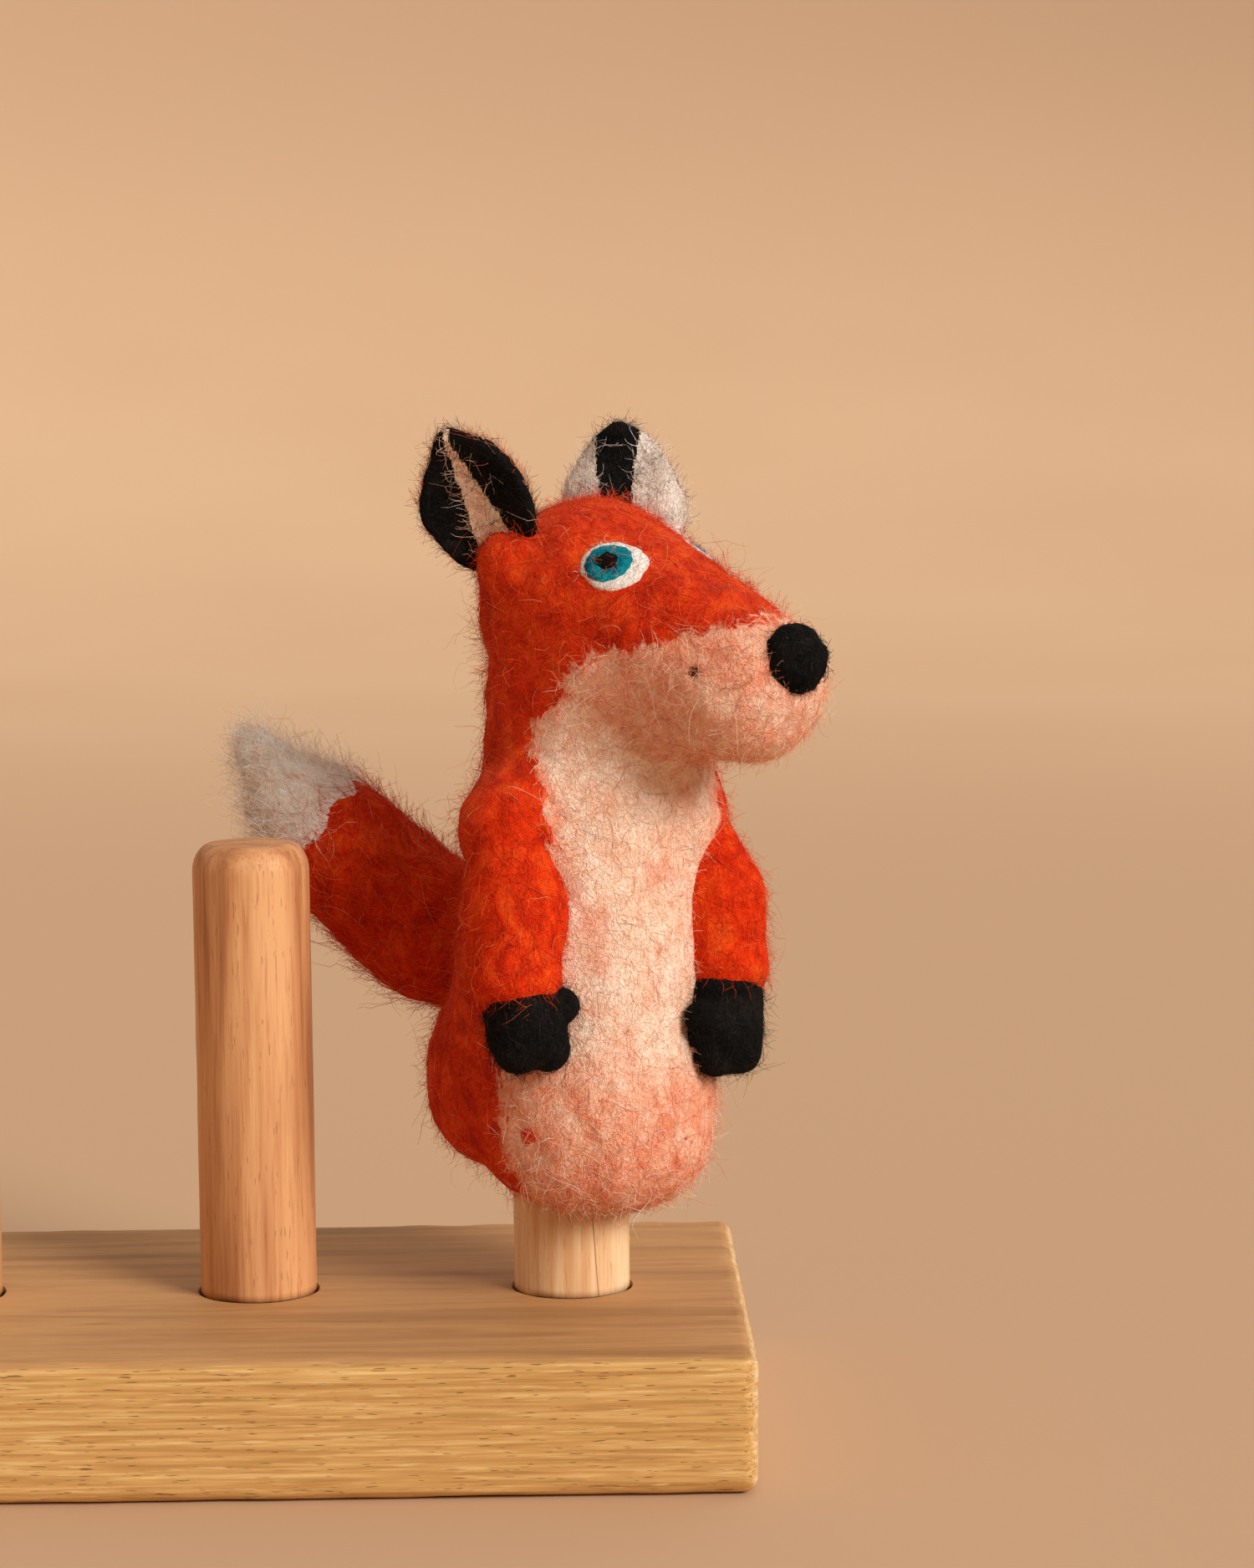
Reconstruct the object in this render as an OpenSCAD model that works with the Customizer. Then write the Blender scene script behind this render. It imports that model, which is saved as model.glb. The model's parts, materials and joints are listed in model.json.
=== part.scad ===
// Needle-felted fox finger puppet, standing on a wooden peg of its stand.
// Millimetres. Z is up, X runs along the stand, and the front of the stand faces -Y.
// The origin is the centre of the stand's underside, below the middle peg.

/* [Stand] */
// Length of the block
block_l = 126.2; // [120:0.2:160]
// Depth of the block, front to back
block_d = 75.2; // [60:0.2:90]
// Thickness of the block
block_h = 17.4; // [15:0.2:24]
// Bevel on the edges of the block
block_bevel = 1.6; // [0.8:0.2:2.4]
// Distance from one peg to the next
peg_pitch = 40.8; // [40:0.2:50]

/* [Pegs] */
// Diameter of a peg above the block
peg_d = 15; // [14:0.1:15.4]
// Height of a peg above the block
peg_h = 58.6; // [54:0.2:58.6]
// Radius of the flat on top of a peg
peg_flat_r = 5; // [3:0.1:6]
// Height of the rounding at the top of a peg
peg_round_h = 3.6; // [2:0.1:5]
// Diameter of the hole that a peg stands in
hole_d = 15.5; // [15.4:0.1:16]
// Depth of the hole that a peg stands in
hole_depth = 12; // [8:0.5:12]

/* [Body] */
// Direction that the belly faces, turned from the front of the stand
body_heading = 27; // [20:1:34]
// Gap between the block and the underside of the body
body_lift = 12.4; // [10:0.2:14]
// Height of the neck rim above the block
neck_z = 79; // [77:0.5:80]
// Radius of the neck
neck_r = 14; // [13.8:0.1:14.6]
// Radius of the body at the hips
hip_r = 16.4; // [16:0.1:17]
// Diameter of the finger pocket
pocket_d = 16.8; // [16:0.1:17]
// Thickness of the pale wool laid on the chest
bib_t = 1.6; // [1:0.1:2]

/* [Head] */
// Direction that the snout faces, turned from the front of the stand
head_heading = 48; // [40:1:52]
// Radius of the skull
skull_r = 14.2; // [13.8:0.1:14.4]
// Height of the skull's centre above the block
skull_z = 88; // [87.5:0.1:89]
// Radius of the snout at its end
snout_r = 9.9; // [9:0.1:10.5]
// Distance from the skull's centre forward to the snout's end centre
snout_reach = 25; // [23:0.5:26]
// Drop from the skull's centre down to the snout's end centre
snout_drop = 8.1; // [7:0.1:9]
// Furthest that the head nods down, in degrees
nod_down = 8; // [4:1:10]
// Width of an eye
eye_w = 9.2; // [8:0.1:10]
// Height of an eye
eye_h = 7.6; // [6:0.1:8]

/* [Ears] */
// Length of an ear
ear_l = 18; // [16:0.5:19]
// Width of an ear across its widest stretch
ear_w = 17; // [14:0.5:17.5]
// Thickness of an ear
ear_t = 2.2; // [1.8:0.1:2.6]

/* [Limbs and tail] */
// Radius of an arm at the shoulder
shoulder_r = 5; // [4.4:0.1:5.2]
// Radius of an arm at the cuff
cuff_r = 5.9; // [5.4:0.1:6]
// Radius of a paw's main lobe
paw_r = 4.8; // [4.6:0.1:5.2]
// Furthest that an arm swings out to its side, in degrees
arm_swing = 30; // [10:5:35]
// Radius of the tail at its thickest
tail_r = 8.8; // [8:0.1:9]
// Furthest that the tail wags to either side, in degrees
tail_wag = 7; // [2:1:10]

/* [Hidden] */
$fn = 64;
felt_gap = 0.35;

right = -1;
left = 1;

// Colours of the wood and of the wools
wood_block = [0.72, 0.53, 0.33];
wood_pale = [0.82, 0.66, 0.47];
wood_brown = [0.70, 0.47, 0.29];
wool_orange = [0.80, 0.20, 0.06];
wool_peach = [0.94, 0.66, 0.52];
wool_cream = [0.95, 0.82, 0.70];
wool_black = [0.05, 0.05, 0.05];
wool_white = [0.90, 0.87, 0.82];
wool_teal = [0.02, 0.48, 0.55];

// Points along an arc about [cx, cz], from angle a0 to a1
function arc(cx, cz, r, a0, a1, n = 12) = [
    for (i = [0:n]) let (a = a0 + (a1 - a0) * i / n) [cx + r * cos(a), cz + r * sin(a)]
];

// Profile of a round cone: two balls on one axis and the cone that touches both
function taper_profile(r0, r1, d) = let (lean = asin((r0 - r1) / d)) concat(
    [[0, -r0]], [for (p = arc(0, 0, r0, -90, lean)) if (p[0] > 0.001) p],
    [for (p = arc(0, d, r1, lean, 90)) if (p[0] > 0.001) p], [[0, d + r1]]
);

// Turns +Z to the direction v
module aim(v) {
    rotate([0, acos(v[2] / norm(v)), atan2(v[1], v[0])]) children();
}

// Round cone from a ball at p0 to a ball at p1
module taper(p0, r0, p1, r1) {
    translate(p0) aim(p1 - p0) rotate_extrude() polygon(taper_profile(r0, r1, norm(p1 - p0)));
}

// Puts children in the fox's frame: origin on the block below the fox's peg
module on_block() { translate([peg_pitch, 0, block_h]) children(); }

// Body frame: -Y is the way the belly faces, +X is the fox's left
module body_frame() { on_block() rotate([0, 0, body_heading]) children(); }

// Head frame: origin at the skull's centre, -Y is the way the snout faces
skull_centre = [3.5, -1, skull_z];
module head_frame() { on_block() translate(skull_centre) rotate([0, 0, head_heading]) children(); }

// ---- Stand ----

// Block with bevelled edges all round
module bevelled_block(l, d, h, c) {
    hull() {
        translate([-l / 2, -d / 2 + c, c]) cube([l, d - 2 * c, h - 2 * c]);
        translate([-l / 2 + c, -d / 2, c]) cube([l - 2 * c, d, h - 2 * c]);
        translate([-l / 2 + c, -d / 2 + c, 0]) cube([l - 2 * c, d - 2 * c, h]);
    }
}

module base_block() {
    color(wood_block) difference() {
        bevelled_block(block_l, block_d, block_h, block_bevel);
        for (i = [-1:1])
            translate([i * peg_pitch, 0, block_h - hole_depth]) cylinder(d = hole_d, h = hole_depth + 1);
    }
}

// Half outline of a peg: tenon in the hole, straight shaft, quarter-ellipse shoulder, flat top
tenon_r = peg_d / 2 - 0.3;
tenon_l = hole_depth;
peg_outline = concat(
    [[0, -tenon_l], [tenon_r - 0.8, -tenon_l], [tenon_r, -tenon_l + 0.8], [tenon_r, 0], [peg_d / 2, 0]],
    [for (a = [0:10:90]) [
        peg_flat_r + (peg_d / 2 - peg_flat_r) * cos(a),
        peg_h - peg_round_h + peg_round_h * sin(a)
    ]],
    [[0, peg_h]]
);

module peg(place, tone) {
    color(tone) translate([place * peg_pitch, 0, block_h]) rotate_extrude() polygon(peg_outline);
}

// ---- Body ----

// Centre and radius of the body at the heights where its outline changes: [x, y, radius, z]
body_stations = [
    [0.8, -1.0, hip_r * 0.66, 15],
    [0.8, -1.2, hip_r * 0.93, 22],
    [0.9, -1.3, hip_r, 30],
    [1.1, -1.4, hip_r, 40],
    [1.4, -1.6, (hip_r * 3 + neck_r) / 4, 50],
    [2.0, -2.0, (hip_r + neck_r) / 2 - 0.2, 60],
    [2.8, -2.6, neck_r, 70],
    [3.0, -2.7, neck_r - 0.3, neck_z]
];
body_step = 0.5;

// The body's column, as a stack of short hulls through the stations
module column(inset = 0) {
    for (t = [0:body_step:len(body_stations) - 1.001])
        hull() {
            body_slice(t, inset);
            body_slice(t + body_step, inset);
        }
}

slice_h = 0.02;
module body_slice(t, inset) {
    s = through(body_stations, t);
    translate([s[0], s[1], s[3] - slice_h / 2]) cylinder(r = s[2] - inset, h = slice_h, $fn = 36);
}

// Soft lobe with rounded top and underside
module lobe(centre, r, half_h) {
    translate(centre) rotate_extrude() polygon([
        for (a = [-90:10:90]) [r * pow(cos(a), 0.7), half_h * sin(a)]
    ]);
}

belly_r = 15.2;
belly_half_h = 13;
belly_centre = [1.2, -5, body_lift + belly_half_h];
module belly_lobe() { lobe(belly_centre, belly_r, belly_half_h); }

// The rump hangs a little higher than the belly
rump_r = 14;
rump_half_h = 12.7;
rump_centre = [-2.4, 4.4, body_lift + 3 + rump_half_h];
module rump_lobe() { lobe(rump_centre, rump_r, rump_half_h); }

// Front of the lower body, ahead of the crease between belly and rump
crease_y = -8.6;
belly_top_z = 32;
module ahead_of_crease() {
    translate([-30, -40 + crease_y, 0]) cube([60, 40, belly_top_z]);
}

// Stretch of the chest that the pale wool covers, seen from the front
bib_outline = [
    [-9.7, 77], [15.5, 77], [15, 62], [13, 48], [12, 38], [12, belly_top_z],
    [-10.5, belly_top_z], [-10.5, 38], [-10, 48], [-9.4, 62]
];
module chest_stretch() {
    translate([0, -4, 0]) rotate([90, 0, 0]) linear_extrude(30) polygon(bib_outline);
}

// Pocket for the finger, which the peg fills: it ends on top of the peg
module pocket() {
    translate([0, 0, -1]) cylinder(d = pocket_d, h = peg_h + 0.05 + 1);
}

// Room in the neck for the head, at rest and nodding down
module head_room() {
    for (nod = [0, nod_down / 2, nod_down])
        translate(skull_centre_in_body) rotate([0, 0, head_heading - body_heading]) rotate([nod, 0, 0])
            skull_and_snout(felt_gap);
}

// The skull's centre, given in the body frame
skull_centre_in_body = [
    skull_centre[0] * cos(body_heading) + skull_centre[1] * sin(body_heading),
    -skull_centre[0] * sin(body_heading) + skull_centre[1] * cos(body_heading),
    skull_z
];

// Hollows in the body for the finger, the head, the arms, the paws and the tail's root
module body_hollows() {
    pocket();
    head_room();
    for (side = [right, left]) {
        arm_room(side);
        paw_solid(side, felt_gap);
    }
    tail_room();
}

module torso() {
    $fn = 24;
    color(wool_orange) body_frame() difference() {
        union() {
            column();
            rump_lobe();
            belly_lobe();
        }
        ahead_of_crease();
        difference() {
            chest_stretch();
            column(bib_t);
        }
        body_hollows();
    }
}

module bib() {
    $fn = 24;
    color(wool_cream) body_frame() difference() {
        intersection() {
            union() {
                column();
                belly_lobe();
            }
            chest_stretch();
        }
        column(bib_t);
        body_hollows();
    }
}

module belly() {
    $fn = 24;
    color(wool_peach) body_frame() difference() {
        intersection() {
            union() {
                column();
                belly_lobe();
            }
            ahead_of_crease();
        }
        body_hollows();
    }
}

// ---- Arms ----

shoulder = [13.6, -7.8, 60.2];
wrist = [15.6, -13.4, 43.4];
paw_centre = [13.9, -15.6, 36.8];

function on_side(p, side) = [side * p[0], p[1], p[2]];

module arm_solid(side, grow = 0) {
    taper(on_side(shoulder, side), shoulder_r + grow, on_side(wrist, side), cuff_r + grow);
}

// Room in the body for an arm, from rest to its furthest swing
module arm_room(side) {
    hull() for (swing = [0, arm_swing + 1])
        translate(on_side(shoulder, side)) rotate([0, -side * swing, 0]) translate(-on_side(shoulder, side))
            arm_solid(side, felt_gap);
}

module arm(side) { color(wool_orange) body_frame() arm_solid(side); }

// A paw is a main lobe with a thumb and two fingers
thumb = paw_centre + [-3.6, -0.6, 2.2];
outer_finger = paw_centre + [1.6, -1, -2.2];
inner_finger = paw_centre + [-2, -1.2, -2.4];
module paw_solid(side, grow = 0) {
    translate(on_side(paw_centre, side)) sphere(paw_r + grow);
    translate(on_side(thumb, side)) sphere(paw_r * 0.5 + grow);
    translate(on_side(outer_finger, side)) sphere(paw_r * 0.62 + grow);
    translate(on_side(inner_finger, side)) sphere(paw_r * 0.6 + grow);
}

module paw(side) {
    color(wool_black) body_frame() difference() {
        union() paw_solid(side);
        arm_solid(side);
    }
}

// ---- Tail ----

// Hand-chosen centre line from the rump to the tip, in the body frame
tail_points = [
    [-1.4, 16, 39], [-5.6, 23, 43], [-12, 31, 49.5], [-17.5, 36.6, 56.5], [-22, 41, 62.5], [-25, 44.5, 68.5]
];
tail_radii = [6.2, tail_r, tail_r * 1.02, tail_r * 0.87, tail_r * 0.54, 2.2];
tip_from = 3;

// Smooth curve through the points of a list: t counts the points
function through(list, t) = let (
    i = min(floor(t), len(list) - 2),
    f = t - i,
    p0 = list[max(i - 1, 0)], p1 = list[i], p2 = list[i + 1], p3 = list[min(i + 2, len(list) - 1)]
) 0.5 * (2 * p1 + (p2 - p0) * f + (2 * p0 - 5 * p1 + 4 * p2 - p3) * f * f
    + (3 * p1 - p0 - 3 * p2 + p3) * f * f * f);

function unit(v) = v / norm(v);

// Ring of points about the tail's centre line at t, flattened by scale k
ring_sides = 20;
function tail_ring(t, k, shift = 0) = let (
    along = unit(through(tail_points, min(t + 0.05, len(tail_points) - 1))
        - through(tail_points, max(t - 0.05, 0))),
    across = unit(cross(along, [0, 0, 1])),
    over = cross(across, along),
    r = through(tail_radii, t) * k,
    c = through(tail_points, t) + along * shift
) [for (i = [0:ring_sides - 1]) let (a = 360 * i / ring_sides) c + r * (across * cos(a) + over * sin(a))];

// Room in the rump for the tail's root, as the tail wags to either side
module tail_room() {
    for (wag = [-tail_wag, 0, tail_wag])
        translate(tail_points[0]) rotate([0, 0, wag]) hull() {
            sphere(tail_radii[0] + felt_gap);
            translate(tail_points[1] - tail_points[0]) sphere(tail_radii[1] + 2 * felt_gap);
        }
}

// Closed solid through a list of rings
module loft(rings) {
    n = len(rings[0]);
    m = len(rings);
    polyhedron(
        points = [for (ring = rings) each ring],
        faces = concat(
            [[for (i = [n - 1:-1:0]) i]],
            [for (j = [0:m - 2], i = [0:n - 1]) let (k = (i + 1) % n)
                [j * n + k, (j + 1) * n + k, (j + 1) * n + i, j * n + i]],
            [[for (i = [0:n - 1]) (m - 1) * n + i]]
        )
    );
}

module tail() {
    root_r = tail_radii[0];
    root_cap = [for (a = [20:17.5:90]) tail_ring(0, sin(a), -root_r * cos(a))];
    shaft = [for (t = [0.25:0.25:tip_from]) tail_ring(t, 1)];
    color(wool_orange) body_frame() loft(concat(root_cap, shaft));
}

module tail_tip() {
    last = len(tail_points) - 1;
    tip_r = tail_radii[last];
    shaft = [for (t = [tip_from:0.25:last]) tail_ring(t, 1)];
    end_cap = [for (a = [70:-25:20]) tail_ring(last, sin(a), tip_r * cos(a))];
    color(wool_white) body_frame() loft(concat(shaft, end_cap));
}

// ---- Head ----

snout_end = [0, -snout_reach, -snout_drop];
module skull_and_snout(grow = 0) { taper([0, 0, 0], skull_r + grow, snout_end, snout_r + grow); }

nose_centre = [-0.9, -33.6, -4.8];
nose_w = 8.2;
nose_h = 8.9;
module nose_solid() {
    translate(nose_centre) rotate_extrude() polygon([
        for (a = [-90:10:90]) [nose_w / 2 * cos(a), nose_h / 2 * sin(a)]
    ]);
}

// Side view of the pale jaw and cheeks: forward and up from the skull's centre
jaw_outline = [
    [1.5, -20], [1.5, -13], [3.5, -10], [8, -6.6], [14, -3.8], [21, -2.4], [28, -0.3], [40, 2], [40, -20]
];
module jaw_stretch() {
    rotate([90, 0, -90]) linear_extrude(50, center = true) polygon(jaw_outline);
}

module head() {
    color(wool_orange) head_frame() difference() {
        skull_and_snout();
        jaw_stretch();
        nose_solid();
    }
}

module muzzle() {
    color(wool_peach) head_frame() difference() {
        intersection() {
            skull_and_snout();
            jaw_stretch();
        }
        nose_solid();
    }
}

module nose() { color(wool_black) head_frame() nose_solid(); }

// A patch of wool lying on the head, between two heights over its surface
module patch_on_head(from, to) {
    difference() {
        intersection() {
            skull_and_snout(to);
            children();
        }
        skull_and_snout(from);
    }
}

// Oval post that stands out of the head where an eye is, set back from its middle
eye_place = [8.4, -11.2, 6.4];
eye_out = [0.65, -0.42, 0.64];
module eye_post(side, w, h, back = 0) {
    translate(on_side(eye_place, side)) aim(on_side(eye_out, side))
        translate([0, side * back, -4]) linear_extrude(8)
            polygon([for (a = [0:15:345]) [h / 2 * cos(a), w / 2 * sin(a)]]);
}

module eye_white(side) {
    color(wool_white) head_frame() patch_on_head(0, 0.5) eye_post(side, eye_w, eye_h);
}
module iris(side) {
    color(wool_teal) head_frame() patch_on_head(0.5, 0.8) eye_post(side, eye_w * 0.72, eye_h * 0.8, 0.6);
}
module pupil(side) {
    color(wool_black) head_frame() patch_on_head(0.8, 1.1) eye_post(side, eye_w * 0.36, eye_h * 0.36, 0.7);
}

mouth_place = [-9.6, -24.5, -6.1];
module mouth_stitch() {
    color(wool_black) head_frame() patch_on_head(0, 0.4)
        translate(mouth_place) rotate([0, 90, 0]) cylinder(r = 0.7, h = 6, center = true);
}

// ---- Ears ----
// Ear frame: Z along the ear, Y out of its hollow face, X along its width

ear_base = [11, 4.7, 7];
ear_along = [5.9, 4.6, 15.7];
cup_r = 12;
// Both ears are set on the head turned a little the same way
ears_turn = 25;

// Leaf outline: two arcs that meet at the tip, cut off at the root
widest_z = ear_l * 0.3;
root_z = -3;
leaf_rise = ear_l - widest_z;
leaf_r = (pow(leaf_rise, 2) + pow(ear_w / 2, 2)) / ear_w;
leaf_reach = asin(leaf_rise / leaf_r);
leaf_root = asin((widest_z - root_z) / leaf_r);
leaf_outline = concat(
    arc(ear_w / 2 - leaf_r, widest_z, leaf_r, -leaf_root, leaf_reach),
    arc(leaf_r - ear_w / 2, widest_z, leaf_r, 180 - leaf_reach, 180 + leaf_root)
);

module ear_frame(side) {
    head_frame() translate(on_side(ear_base, side)) aim_ear(side) children();
}

// Leans the ear's length along ear_along and turns its hollow face outward
module aim_ear(side) {
    lean_out = atan2(ear_along[0], ear_along[2]);
    lean_back = atan2(ear_along[1], ear_along[2]);
    rotate([-lean_back, side * lean_out, 0]) rotate([0, 0, ears_turn - side * 90]) children();
}

// Layer of the cupped leaf between two radii of the cup, and between two edges
module ear_layer(r0, r1, x0, x1) {
    intersection() {
        translate([0, cup_r, -8]) difference() {
            cylinder(r = r1, h = 40);
            translate([0, 0, -1]) cylinder(r = r0, h = 42);
        }
        translate([0, cup_r, 0]) rotate([90, 0, 0]) linear_extrude(20) polygon(leaf_outline);
        translate([x0, -20, -10]) cube([x1 - x0, 40, 50]);
    }
}

// An ear's layers stop just clear of the skull
module ear_part(side, tone, r0, r1, x0, x1) {
    color(tone) difference() {
        ear_frame(side) ear_layer(r0, r1, x0, x1);
        head_frame() skull_and_snout(felt_gap + 0.1);
    }
}

rim_t = 0.6;
rim_from = 2.2;
stripe_w = 4.6;
edge = ear_w;

module ear(side) { ear_part(side, wool_cream, cup_r, cup_r + ear_t, -edge, edge); }
module ear_lining(side) { ear_part(side, wool_peach, cup_r - rim_t, cup_r, -rim_from, rim_from); }
module ear_front_rim(side) {
    ear_part(side, wool_black, cup_r - rim_t, cup_r, side > 0 ? rim_from : -edge, side > 0 ? edge : -rim_from);
}
module ear_back_rim(side) {
    ear_part(side, wool_black, cup_r - rim_t, cup_r, side > 0 ? -edge : rim_from, side > 0 ? -rim_from : edge);
}
module ear_stripe(side) {
    ear_part(side, wool_black, cup_r + ear_t, cup_r + ear_t + rim_t, -stripe_w / 2, stripe_w / 2);
}

// ---- Nodes ----

base_block();
peg(1, wood_pale);  // fox_peg
peg(0, wood_brown);  // middle_peg
peg(-1, wood_brown);  // end_peg
torso();
bib();
belly();
head();
muzzle();
nose();
mouth_stitch();
eye_white(right);  // eye_white_right
eye_white(left);  // eye_white_left
iris(right);  // iris_right
iris(left);  // iris_left
pupil(right);  // pupil_right
pupil(left);  // pupil_left
ear(right);  // ear_right
ear(left);  // ear_left
ear_lining(right);  // ear_right_lining
ear_lining(left);  // ear_left_lining
ear_front_rim(right);  // ear_right_front_rim
ear_front_rim(left);  // ear_left_front_rim
ear_back_rim(right);  // ear_right_back_rim
ear_back_rim(left);  // ear_left_back_rim
ear_stripe(right);  // ear_right_stripe
ear_stripe(left);  // ear_left_stripe
arm(right);  // arm_right
arm(left);  // arm_left
paw(right);  // paw_right
paw(left);  // paw_left
tail();
tail_tip();
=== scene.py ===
import itertools
import json
import math

import bmesh
import bpy
import numpy as np
from mathutils import Matrix, Vector


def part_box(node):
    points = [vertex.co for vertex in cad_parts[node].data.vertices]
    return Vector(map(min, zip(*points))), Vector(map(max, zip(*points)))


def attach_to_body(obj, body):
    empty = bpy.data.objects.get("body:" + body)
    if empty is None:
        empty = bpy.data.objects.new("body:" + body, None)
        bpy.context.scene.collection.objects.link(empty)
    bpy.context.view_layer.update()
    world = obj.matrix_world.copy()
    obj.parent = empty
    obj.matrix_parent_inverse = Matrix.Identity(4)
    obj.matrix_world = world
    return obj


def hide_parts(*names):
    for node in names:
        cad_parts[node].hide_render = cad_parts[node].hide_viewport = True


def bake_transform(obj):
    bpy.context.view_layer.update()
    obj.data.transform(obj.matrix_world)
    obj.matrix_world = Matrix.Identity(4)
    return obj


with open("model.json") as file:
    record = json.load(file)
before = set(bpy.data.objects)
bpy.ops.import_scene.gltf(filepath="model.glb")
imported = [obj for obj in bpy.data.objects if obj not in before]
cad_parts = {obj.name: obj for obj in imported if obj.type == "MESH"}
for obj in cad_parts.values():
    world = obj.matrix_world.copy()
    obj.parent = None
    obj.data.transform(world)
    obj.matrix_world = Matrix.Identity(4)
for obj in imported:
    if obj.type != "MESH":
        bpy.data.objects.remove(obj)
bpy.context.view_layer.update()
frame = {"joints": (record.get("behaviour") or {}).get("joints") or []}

# Shapes are worked out in millimetres in the fox's own frames and written to Blender in metres.
MM = 0.001
JOINTS = {joint["name"]: joint for joint in frame["joints"]}
RIGHT, LEFT = -1, 1
SIDE_NAMES = {RIGHT: "right", LEFT: "left"}

# ---- frames


def joint_mm(name):
    """A joint's place in the row frame, in millimetres."""
    return np.array(JOINTS[name]["pos_m"]) / MM


def turn_z(angle):
    """Matrix of a turn about Z, in radians."""
    c, s = math.cos(angle), math.sin(angle)
    return np.array([[c, -s, 0.0], [s, c, 0.0], [0.0, 0.0, 1.0]])


FOOT = joint_mm("fox_peg_turn")
ARM_AXIS = JOINTS["arm_right_swing"]["axis"]
NOD_AXIS = JOINTS["head_nod"]["axis"]
BODY_TURN = math.atan2(-ARM_AXIS[0], ARM_AXIS[1])
HEAD_TURN = math.atan2(NOD_AXIS[1], NOD_AXIS[0])
TO_ROW = turn_z(BODY_TURN)
HEAD_IN_BODY = turn_z(HEAD_TURN - BODY_TURN)


def row_to_body(point):
    """From the row frame to the body frame: origin on the block below the fox, -Y where its belly faces."""
    return (np.asarray(point) - FOOT) @ TO_ROW


def body_to_row(points):
    """From the body frame to the row frame."""
    return np.asarray(points) @ TO_ROW.T + FOOT


SKULL = row_to_body(joint_mm("head_nod"))
SHOULDERS = {side: row_to_body(joint_mm(f"arm_{SIDE_NAMES[side]}_swing")) for side in (RIGHT, LEFT)}
TAIL_ROOT = row_to_body(joint_mm("tail_wag"))


def head_to_body(points):
    """From the head frame (origin at the skull's centre, -Y along the snout) to the body frame."""
    return np.asarray(points) @ HEAD_IN_BODY.T + SKULL


def body_to_head(points):
    return (np.asarray(points) - SKULL) @ HEAD_IN_BODY


def mirrored(point, side):
    """A point given for the fox's left, moved to the given side."""
    return np.array([side * point[0], point[1], point[2]], float)


# ---- noise and distance fields

LATTICES = {}


def noise(points, cell, seed):
    """Smooth value noise from -1 to 1, with features of about the cell's size."""
    if seed not in LATTICES:
        LATTICES[seed] = np.random.default_rng(seed).uniform(-1, 1, (32, 32, 32))
    lattice = LATTICES[seed]
    q = points / cell + 512.3
    low = np.floor(q).astype(int)
    f = q - low
    f = f * f * (3 - 2 * f)
    total = np.zeros(len(points))
    for corner in itertools.product((0, 1), repeat=3):
        i, j, k = ((low + corner) % 32).T
        weight = np.ones(len(points))
        for axis in range(3):
            weight = weight * (f[:, axis] if corner[axis] else 1 - f[:, axis])
        total += weight * lattice[i, j, k]
    return total


def merge(a, b, k):
    """Union of two distance fields with a soft valley of width k between them."""
    h = np.maximum(k - np.abs(a - b), 0) / k
    return np.minimum(a, b) - h * h * k / 4


def carve(a, b, k):
    """What of a lies outside b, with a rim rounded over k."""
    return -merge(-a, b, k)


def ball(p, centre, r):
    return np.linalg.norm(p - centre, axis=1) - r


def round_cone(p, a, ra, b, rb):
    """Distance to the hull of two balls."""
    ab = b - a
    long2 = ab @ ab
    drop = ra - rb
    slant2 = long2 - drop * drop
    ap = p - a
    y = ap @ ab
    z = y - long2
    x2 = ((ap * long2 - y[:, None] * ab) ** 2).sum(1)
    y2, z2 = y * y * long2, z * z * long2
    k = np.sign(drop) * drop * drop * x2
    d = (np.sqrt(x2 * slant2 / long2) + y * drop) / long2 - ra
    d = np.where(np.sign(y) * slant2 * y2 < k, np.sqrt(x2 + y2) / long2 - ra, d)
    return np.where(np.sign(z) * slant2 * z2 > k, np.sqrt(x2 + z2) / long2 - rb, d)


def ellipsoid(p, centre, radii):
    q = p - centre
    k0 = np.linalg.norm(q / radii, axis=1)
    k1 = np.linalg.norm(q / (radii * radii), axis=1)
    return k0 * (k0 - 1) / np.maximum(k1, 1e-9)


def lobe(p, centre, r, half_h, out_power=2.857, up_power=2.5):
    """A cushion-like lobe. Powers over 2 make it fuller at its rim than an ellipsoid."""
    q = p - centre
    k = np.sqrt((np.hypot(q[:, 0], q[:, 1]) / r) ** out_power + np.abs(q[:, 2] / half_h) ** up_power)
    return (k - 1) * 0.75 * half_h


def gradient(field, p, step=0.06):
    """Slope of a field at points, by central differences."""
    out = np.empty_like(p)
    for axis in range(3):
        shift = np.zeros(3)
        shift[axis] = step
        out[:, axis] = (field(p + shift) - field(p - shift)) / (2 * step)
    return out


def settle(field, p, level=0.0, rounds=3, reach=1.0):
    """Moves points onto a level of a field."""
    for _ in range(rounds):
        slope = gradient(field, p)
        size2 = np.maximum((slope**2).sum(1), 0.05)
        step = ((field(p) - level) / size2)[:, None] * slope
        far = np.linalg.norm(step, axis=1, keepdims=True)
        p = p - step * np.minimum(1, reach / np.maximum(far, 1e-9))
    return p


def sample_field(field, low, high, cell):
    """A field's values on a grid, worked out a slab at a time."""
    axes = [np.arange(low[i], high[i] + cell, cell) for i in range(3)]
    values = np.empty([len(a) for a in axes])
    yy, zz = np.meshgrid(axes[1], axes[2], indexing="ij")
    for start in range(0, len(axes[0]), 8):
        xs = axes[0][start:start + 8]
        p = np.empty((len(xs), yy.size, 3))
        p[:, :, 0] = xs[:, None]
        p[:, :, 1] = yy.ravel()
        p[:, :, 2] = zz.ravel()
        values[start:start + 8] = field(p.reshape(-1, 3)).reshape(len(xs), *yy.shape)
    return values


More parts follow.
